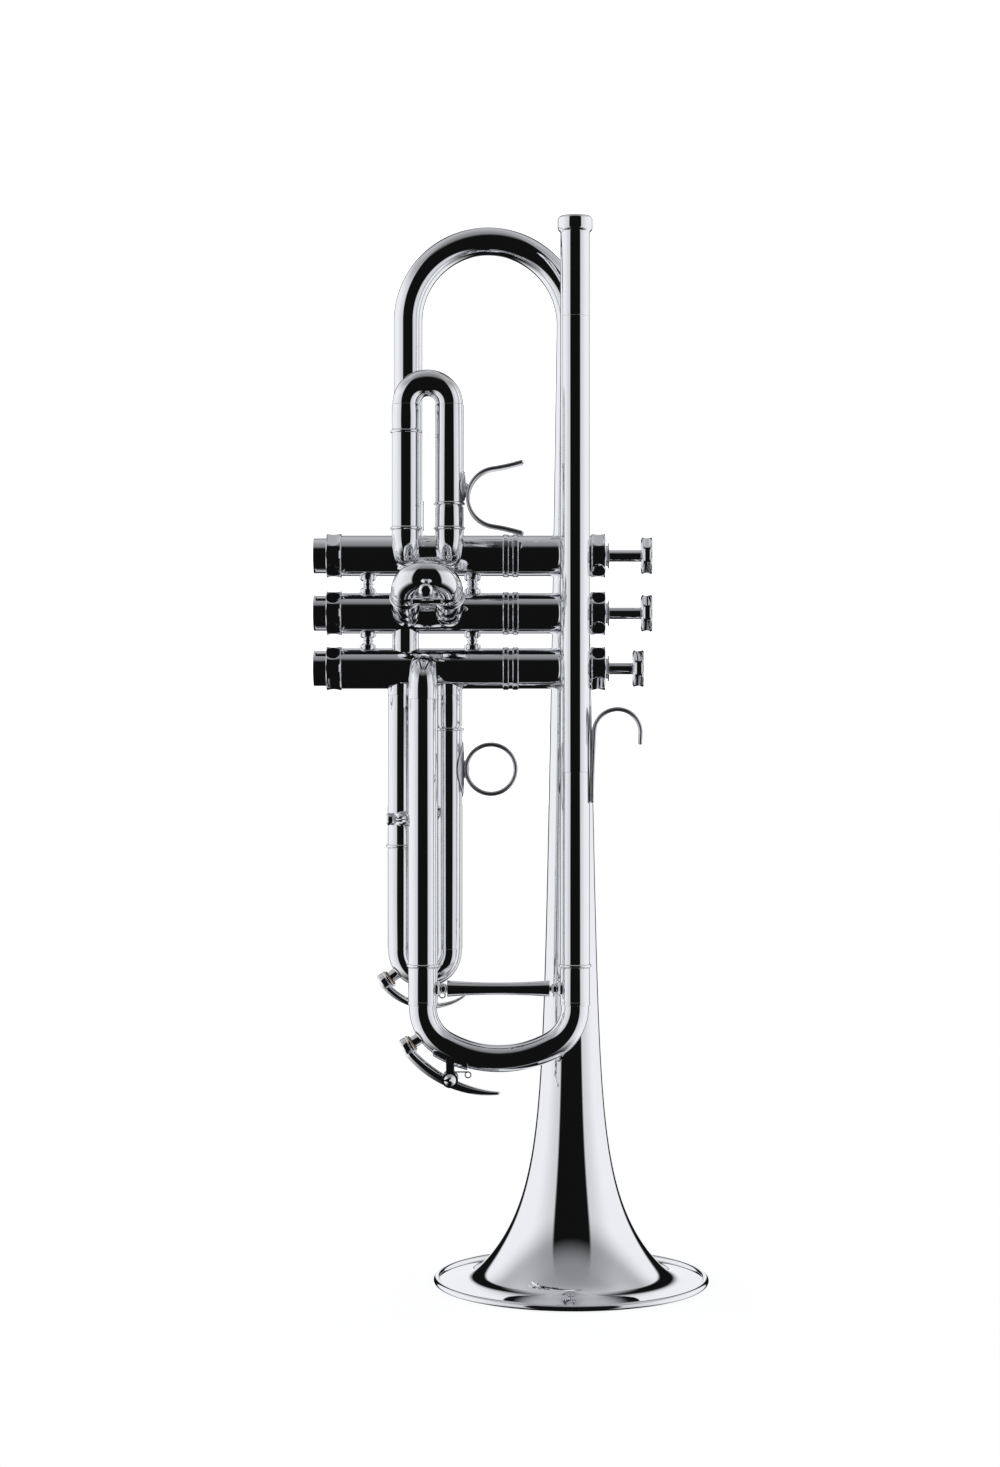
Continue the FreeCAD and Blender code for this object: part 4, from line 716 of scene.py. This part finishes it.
second_middle = (tops[0] + tops[1]) / 2
second_path = arc(second_middle, -RIGHT, second_way, bend, 0, 180, 72)
second = pipe(second_path, np.cross(RIGHT, second_way), CROOK, CROOK - SHEET, 88)
fit("second_crook_tube", "second_slide", silver, [second], ["second_slide_crook"])

KNOB_DROP = math.radians(20.0)
knob_way = np.array([0.0, -math.cos(KNOB_DROP), -math.sin(KNOB_DROP)])
knob_base = second_middle + bend * second_way - BACK - 4.3 * UP
knob = soften([
    (1.2, 0), (1.2, 2.2), (3.4, 1.6), (5.4, 1.6), (6.2, 2.6), (7.6, 3.2), (9.6, 3.2), (10.7, 2.5),
    (11.1, 1.1), (11.1, 0),
], 0.5)
bar_centre = second_middle - 1.9 * second_way + 5.0 * below
bar = soften([(-6.6, 0), (-6.6, 1.5), (-5.6, 1.65), (5.6, 1.65), (6.6, 1.5), (6.6, 0)], 0.3)
knob_parts = [turned(knob, knob_base, knob_way, 64), turned(bar, bar_centre, RIGHT, 48)]
fit("second_slide_knob", "second_slide", silver, knob_parts, ["pull_knob"])

# ---------------------------------------------------------------- third slide
# The long one hangs below the third casing. The left leg slides in a fixed outer tube, and the
# right leg is a sleeve that the ring finger pulls down by its ring.

crook_low, crook_high = (np.array(corner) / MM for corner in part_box("third_slide_crook"))
left, right = crook_low[0] + CROOK, crook_high[0] - CROOK
THIRD_FOOT = crook_high[2]
THIRD_LEFT_RING = THIRD_FOOT + 45.9
THIRD_RIGHT_RING = THIRD_FOOT + 100.4
root_z = CASING_Z[2]
tube_head = root_z - 12.0
for_seat = straight((left, VALVE_Y, root_z - 6.0), (left, VALVE_Y, tube_head), 24)
left_ring = tube_head - HALF_RING - THIRD_LEFT_RING
fixed = [
    seated(pipe(for_seat, RIGHT, TUBE, TUBE - SHEET, 80), root_z),
    seated(pipe(for_seat + (right - left) * RIGHT, RIGHT, TUBE, TUBE - SHEET, 80), root_z),
    tube((left, VALVE_Y, tube_head), (left, VALVE_Y, THIRD_LEFT_RING), TUBE, TUBE - SHEET, (left_ring,)),
    tube((right, VALVE_Y, tube_head), (right, VALVE_Y, THIRD_RIGHT_RING + 0.6), TUBE, LEG - 0.4),
    tube((right, VALVE_Y, root_z - 14.0), (right, VALVE_Y, THIRD_FOOT + 3.0), LEG, LEG - 0.4),
]
fit("third_slide_outer_tubes", "horn", silver, fixed, ["third_casing_tubes"])
right_ring = THIRD_RIGHT_RING - THIRD_FOOT - HALF_RING
right_ends = (right, VALVE_Y, THIRD_FOOT), (right, VALVE_Y, THIRD_RIGHT_RING)
moving = [
    tube((left, VALVE_Y, THIRD_FOOT), (left, VALVE_Y, THIRD_LEFT_RING - 0.3), TUBE, LEG - 0.2),
    tube((left, VALVE_Y, THIRD_FOOT + 1.0), (left, VALVE_Y, THIRD_LEFT_RING + 65.0), LEG, LEG - 0.4),
    tube(*right_ends, TUBE, TUBE - SHEET, (right_ring,)),
]
fit("third_slide_sleeves", "third_slide", silver, moving, ["third_slide_legs"])
third_bend = (right - left) / 2
third_centre = np.array([(left + right) / 2, VALVE_Y, THIRD_FOOT - 1.0])
third_path = np.vstack([
    straight((left, VALVE_Y, THIRD_FOOT), (left, VALVE_Y, THIRD_FOOT - 1.0)),
    arc(third_centre, -RIGHT, -UP, third_bend, 0, 180, 72),
    straight((right, VALVE_Y, THIRD_FOOT - 1.0), (right, VALVE_Y, THIRD_FOOT)),
])
third = pipe(third_path, BACK, CROOK, CROOK - SHEET, 88)
fit("third_crook_tube", "third_slide", silver, [third], ["third_slide_crook"])

# ---------------------------------------------------------------- thumb saddle
# The left thumb pulls the first slide by an open saddle, bent from round-edged strip. It is
# silver-soldered to a lens-shaped plate on the sliding sleeve.


def strip(path, width, thick, y, sides=48):
    """Bar with round edges along a path of (x, z) points. The section is two half circles of
    diameter thick, joined by flats up to width along Y. End rings shrink as cos t while they move
    out as sin t, t from 0 to 90 degrees, which rounds both ends."""
    path = np.asarray(path, float)
    line = np.stack([path[:, 0], np.full(len(path), y), path[:, 1]], axis=1)
    step = np.gradient(line, axis=0)
    step /= np.linalg.norm(step, axis=1, keepdims=True)
    thick = np.broadcast_to(np.asarray(thick, float), len(path))
    width = np.broadcast_to(np.asarray(width, float), len(path))
    t = np.radians([0, 22, 45, 68, 90])
    lead = -step[0] * thick[0] / 2 * np.sin(t[:0:-1])[:, None]
    tail = step[-1] * thick[-1] / 2 * np.sin(t[1:])[:, None]
    line = np.vstack([line[0] + lead, line, line[-1] + tail])
    step = np.vstack([np.repeat(step[:1], 4, 0), step, np.repeat(step[-1:], 4, 0)])
    shrink = np.concatenate([np.cos(t[:0:-1]), np.ones(len(path)), np.cos(t[1:])])
    shrink[0] = shrink[-1] = 0.0
    thick = np.concatenate([np.full(4, thick[0]), thick, np.full(4, thick[-1])]) * shrink
    width = np.concatenate([np.full(4, width[0]), width, np.full(4, width[-1])]) * shrink
    a = np.linspace(0, 2 * np.pi, sides, endpoint=False) + np.pi / sides
    flat = (np.maximum(width - thick, 0) / 2)[:, None]
    along_y = np.sign(np.cos(a)) * flat + thick[:, None] / 2 * np.cos(a)
    through = thick[:, None] / 2 * np.sin(a)
    out = np.cross(BACK, step)
    return line[:, None, :] + along_y[:, :, None] * BACK + through[:, :, None] * out[:, None, :]


def lens(x, y, z_low, z_high, radius, rise, spread):
    """Plate hugging a tube's right side. At share s of its height, from -1 to 1, it spans spread *
    (1 - s^2) degrees each way and stands rise * sin(a)^0.5 * (1 - s^2)^0.25 proud."""
    s = np.linspace(-1, 1, 49)[:, None]
    a = np.linspace(0, 2 * np.pi, 40, endpoint=False)[None, :]
    room = 1 - s**2
    angle = np.radians(spread) * room * np.cos(a)
    swell = np.where(np.sin(a) > 0, rise * np.abs(np.sin(a)) ** 0.5, -0.15) * room**0.25
    r = radius + swell
    z = (z_low + z_high) / 2 + s * (z_high - z_low) / 2 + 0 * a
    return np.stack([x + r * np.cos(angle), y + r * np.sin(angle), z], axis=-1)


def curve(start, pull, end, count=24):
    """Points on the parabola that leaves start towards pull and arrives at end."""
    s = np.linspace(0, 1, count)[:, None]
    start, pull, end = (np.asarray(point, float) for point in (start, pull, end))
    return (1 - s) ** 2 * start + 2 * s * (1 - s) * pull + s**2 * end


STRAP = 1.8
saddle_low, saddle_high = (np.array(corner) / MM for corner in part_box("thumb_saddle"))
SADDLE_RADIUS = 14.0 - STRAP / 2
saddle_x = saddle_high[0] - 12.1
saddle_z = (saddle_low[2] + saddle_high[2]) / 2
a = np.radians(np.linspace(98, 262, 72))
saddle_middle = np.array([saddle_x, saddle_z])
back_curve = saddle_middle + SADDLE_RADIUS * np.stack([np.cos(a), np.sin(a)], axis=1)
tip = np.array([saddle_high[0] - 1.0, saddle_high[2] - 1.0])
SPLAY = math.radians(8)
arm = curve(tip, back_curve[0] + 6.0 * np.array([math.cos(SPLAY), math.sin(SPLAY)]), back_curve[0])
lower_arm = arm[::-1] * (1, -1) + (0, 2 * saddle_z)
saddle_path = np.vstack([arm[:-1], back_curve, lower_arm[1:]])
plate_z = (RIGHT_RING + 1.9, saddle_z + 12.0)
saddle_foot = [(0, 0), (0, 4.2), (0.9, 3.4), (2.2, 2.9), (2.2, 0)]
foot_x = PORTS[1] + TUBE - 0.2
saddle_parts = [
    strip(saddle_path, 11.0, STRAP, FIRST_Y),
    lens(PORTS[1], FIRST_Y, *plate_z, TUBE, 0.9, 46.0),
    turned(soften(saddle_foot, 0.4), (foot_x, FIRST_Y, 362.6), RIGHT, 56),
]
worn = polished("hand_worn_silver", (0.80, 0.81, 0.84, 1), (0.72, 0.71, 0.69, 1), 0.30, 0.06, 0.00001)
fit("thumb_saddle_strip", "first_slide", worn, saddle_parts, ["thumb_saddle"])

# ---------------------------------------------------------------- finger ring
# The ring finger moves the third slide by a closed ring of round-edged strip. A short neck joins it
# to a lens-shaped plate on the sleeve.

ring_low, ring_high = (np.array(corner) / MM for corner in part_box("finger_ring"))
RING_RADIUS = 12.2
RING_THICK = 2.0
RING_WIDE = 5.5
ring_x = ring_high[0] - RING_RADIUS
ring_z = (ring_low[2] + ring_high[2]) / 2
a = np.linspace(0, 2 * np.pi, 48, endpoint=False) + np.pi / 48
ring_outline = np.stack([
    np.sign(np.cos(a)) * (RING_WIDE - RING_THICK) / 2 + RING_THICK / 2 * np.cos(a),
    RING_RADIUS - RING_THICK / 2 + RING_THICK / 2 * np.sin(a),
], axis=1)
third_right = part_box("third_slide_crook")[1][0] / MM - CROOK
NECK = 4.0
neck_line = straight((third_right + TUBE - 0.4, ring_z), (ring_x - RING_RADIUS + 0.5, ring_z), 8)
neck = strip(neck_line, NECK, NECK, VALVE_Y)
neck = (neck - [0, 0, ring_z]) * [1, 1, 2.0] + [0, 0, ring_z]
ring_parts = [
    turned(ring_outline, (ring_x, VALVE_Y, ring_z), BACK, 160),
    neck,
    lens(third_right, VALVE_Y, ring_z - 12.5, ring_z + 12.5, TUBE, 0.9, 52.0),
]
fit("finger_ring_band", "third_slide", worn, ring_parts, ["finger_ring"])

# ---------------------------------------------------------------- little-finger hook and slide stop
# The right hand's little finger rests in a hook of bent strip on the leadpipe. The stop is a
# turned post on the third slide's outer tube with a thumbscrew through it.

hook_low, hook_high = (np.array(corner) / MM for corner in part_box("pinky_hook"))
HOOK_RADIUS = 11.4
HOOK_THICK = 2.0
hook_x = hook_high[0] - HOOK_RADIUS
hook_z = 253.7
middle_line = HOOK_RADIUS - HOOK_THICK / 2
foot_x = LEAD[0] + LEAD_RADIUS + HOOK_THICK / 2
rise = soften([
    (foot_x, hook_low[2] + 1.0), (foot_x + 0.1, hook_low[2] + 10.0), (hook_x - middle_line, hook_z),
], 4.0, 12)
a = np.radians(np.linspace(180, 0, 60))
over = np.stack([hook_x + middle_line * np.cos(a), hook_z + middle_line * np.sin(a)], axis=1)
tip = straight((hook_x + middle_line, hook_z), (hook_x + middle_line - 0.2, hook_z - 4.6), 6)
hook_path = np.vstack([dense(rise[:-1], 0.8)[:-1], over, tip[1:]])
hook_parts = [
    strip(hook_path, 5.0, HOOK_THICK, LEAD[1]),
    lens(LEAD[0], LEAD[1], hook_low[2] + 0.2, 266.0, LEAD_RADIUS, 0.8, 30.0),
]
fit("little_finger_hook", "horn", worn, hook_parts, ["pinky_hook"])
trimmed("slide_stop_post", "stop_post", "horn", silver)
trimmed("slide_stop_thumbscrew", "stop_screw", "stop_screw", silver)

# ---------------------------------------------------------------- water keys
# A sprung lever with a cork in its cup closes each slide's nipple. The lever pivots on a screw in a
# small saddle under the crook, and a wire spring wound round the barrel shuts it.


def through(first, second, third, count=60):
    """Even points on the circle through three (x, z) points, from the first to the third."""
    p, q, r = (np.asarray(point, float) for point in (first, second, third))
    rows = 2 * np.array([q - p, r - p])
    centre = np.linalg.solve(rows, [q @ q - p @ p, r @ r - p @ p])
    angles = np.unwrap([math.atan2(*(point - centre)[::-1]) for point in (p, q, r)])
    a = np.linspace(angles[0], angles[2], count)
    radius = np.linalg.norm(p - centre)
    return np.stack([centre[0] + radius * np.cos(a), centre[1] + radius * np.sin(a)], axis=1)


CUP = 4.2
LEVER = 6.0
LEVER_TAPER = 2.2
TAPER_FROM = 0.80
key_details = (
    ("tuning", "tuning_slide", LEAD[1], 214.0,
     ((-71.0, 111.2), (-52.1, 97.8), (-33.4, 92.9)), ((-74.8, 108.9), (-57.4, 95.5), (-33.4, 91.5)),
     (LOWER_X + CORNER, corner_z), CORNER + CROOK, (-55.1, 98.6)),
    ("third", "third_slide", VALVE_Y, 218.0,
     ((-84.6, 141.2), (-68.5, 131.2), (-49.3, 134.4)), ((-86.3, 138.0), (-66.9, 128.3), (-48.7, 133.7)),
     (third_centre[0], third_centre[2]), third_bend + CROOK, (-67.0, 132.6)),
)
for key, slide, y, facing, over_points, under_points, crook_centre, reach, pivot in key_details:
    top_line = through(*over_points)
    under_line = through(*under_points)
    thick = np.maximum(np.linalg.norm(top_line - under_line, axis=1), 0.8)
    share = np.linspace(0, 1, len(thick))
    narrowing = np.maximum(share - TAPER_FROM, 0.0) / (1 - TAPER_FROM)
    wide = LEVER - LEVER_TAPER * narrowing**2
    lever = strip((top_line + under_line) / 2, wide, np.minimum(thick, 5.2), y, 56)
    angle = math.radians(facing)
    way_out = np.array([math.cos(angle), 0.0, math.sin(angle)])
    seat = np.array([crook_centre[0], y, crook_centre[1]]) + reach * way_out
    cup = turned(soften([
        (3.6, CUP - 0.7), (3.6, CUP - 0.15), (3.85, CUP), (4.6, CUP), (4.75, CUP - 0.22), (4.95, CUP - 0.22),
        (5.1, CUP), (7.4, CUP), (8.0, CUP - 0.6), (8.0, 0), (7.0, 0), (7.0, CUP - 0.7),
    ], 0.12), seat, way_out, 72)
    barrel = turned(soften([
        (-3.5, 1.3), (-3.5, 2.45), (-3.3, 2.6), (3.3, 2.6), (3.5, 2.45), (3.5, 1.3),
    ], 0.1), (pivot[0], y, pivot[1]), BACK, 56)
    parts = [lever, cup, barrel]
    fit(key + "_water_key_lever", key + "_key", silver, parts, [key + "_key_lever"])
    trimmed(key + "_water_key_saddle", key + "_key_saddle", slide, silver)
    dress(key + "_key_spring", steel)
    dress(key + "_key_cork", cork)

# ---------------------------------------------------------------- studio
# A pale floor and backdrop stand round the instrument. Two tall white panels light it from the
# sides and a soft ceiling from above, and the room in front is dark.

world = bpy.data.worlds.new("studio")
bpy.context.scene.world = world
world.use_nodes = True
studio = Finish(world)
way = studio.node("ShaderNodeTexCoord", out=0)
split = studio.tree.nodes.new("ShaderNodeSeparateXYZ")
studio.tree.links.new(way.socket, split.inputs[0])
x, y, z = (Signal(studio, socket) for socket in split.outputs)
forward = y * -1.0
sideways = studio.node("ShaderNodeMath", {"operation": "ABSOLUTE"}, {0: x})
round_angle = studio.node("ShaderNodeMath", {"operation": "ARCTAN2"}, {0: sideways, 1: forward})
DEGREE = math.pi / 180
downward = z * -1.0
panel = studio.between(round_angle, 37 * DEGREE, 43 * DEGREE)
panel = panel * (1.0 - studio.between(round_angle, 144 * DEGREE, 150 * DEGREE))
panel = panel * (0.70 + 0.25 * studio.between(round_angle, 40 * DEGREE, 95 * DEGREE))
panel = panel * (1.0 - studio.between(z, 0.42, 0.98)) * (1.0 - studio.between(downward, 0.55, 0.90))
backdrop = 0.95 * studio.between(round_angle, 166 * DEGREE, 172 * DEGREE)
backdrop = backdrop * (1.0 - studio.between(z, 0.30, 0.90)) * (1.0 - studio.between(downward, 0.35, 0.62))
ceiling = (0.27 + 0.24 * studio.between(y, -0.5, 0.4)) * studio.between(z, 0.66, 0.90)
lit = panel + backdrop + ceiling
level = studio.node("ShaderNodeMath", {"operation": "MAXIMUM"}, {0: lit, 1: 0.006})
tint = studio.blend(level, (0, 0, 0, 1), (0.965, 0.975, 1.0, 1))
studio.tree.links.new(tint.socket, studio.named["BACKGROUND"].inputs["Color"])


def plain(name, colour, glow):
    """Pale paint that also glows a little, faintly mottled so that it isn't one flat tone."""
    finish = new_finish(name, 0.0, 0.9)
    place = finish.node("ShaderNodeTexCoord", out=3)
    mottle = finish.node("ShaderNodeTexNoise", {}, {"Vector": place, "Scale": 3.0})
    tone = finish.blend(mottle, colour, tuple(0.99 * part for part in colour[:3]) + (1,))
    finish.feed("Base Color", tone)
    finish.feed("Emission Color", tone)
    finish.named["BSDF_PRINCIPLED"].inputs["Emission Strength"].default_value = glow
    finish.named["BSDF_PRINCIPLED"].inputs["Specular IOR Level"].default_value = 0.0
    return finish.owner


ROOM = 8000.0
floor_mesh = bpy.data.meshes.new("floor")
floor_corners = np.array([(-ROOM, -ROOM, 0), (ROOM, -ROOM, 0), (ROOM, ROOM, 0), (-ROOM, ROOM, 0)]) * MM
floor_mesh.from_pydata(floor_corners, [], [(0, 1, 2, 3)])
floor_mesh.materials.append(plain("pale_floor", (0.5, 0.5, 0.5, 1), 1.6))
floor = bpy.data.objects.new("floor", floor_mesh)
bpy.context.scene.collection.objects.link(floor)
floor.visible_glossy = False

a = np.radians(np.linspace(-90, 90, 25))
dome_grid = turned(np.stack([ROOM * np.sin(a), ROOM * np.cos(a)], axis=1), (0, 0, 0), UP, 48)
dome_mesh = skin("backdrop", [dome_grid])
dome_mesh.materials.append(plain("pale_backdrop", (0.5, 0.5, 0.5, 1), 1.98))
dome = bpy.data.objects.new("backdrop", dome_mesh)
bpy.context.scene.collection.objects.link(dome)
dome.visible_glossy = False
dome.visible_diffuse = False
dome.visible_shadow = False

# ---------------------------------------------------------------- camera
# The lens is level, square to the instrument, and a little above the middle of its height.

camera_data = bpy.data.cameras.new("camera")
camera_data.lens = 63.56
camera_data.sensor_width = 36.0
camera_data.sensor_fit = "AUTO"
camera_data.clip_start = 0.05
camera_data.clip_end = 50.0
camera = bpy.data.objects.new("camera", camera_data)
bpy.context.scene.collection.objects.link(camera)
camera.location = (-0.0328, -1.197, 0.2532)
camera.rotation_euler = (math.radians(90), 0, 0)
bpy.context.scene.camera = camera
bpy.context.scene.view_settings.view_transform = "Standard"
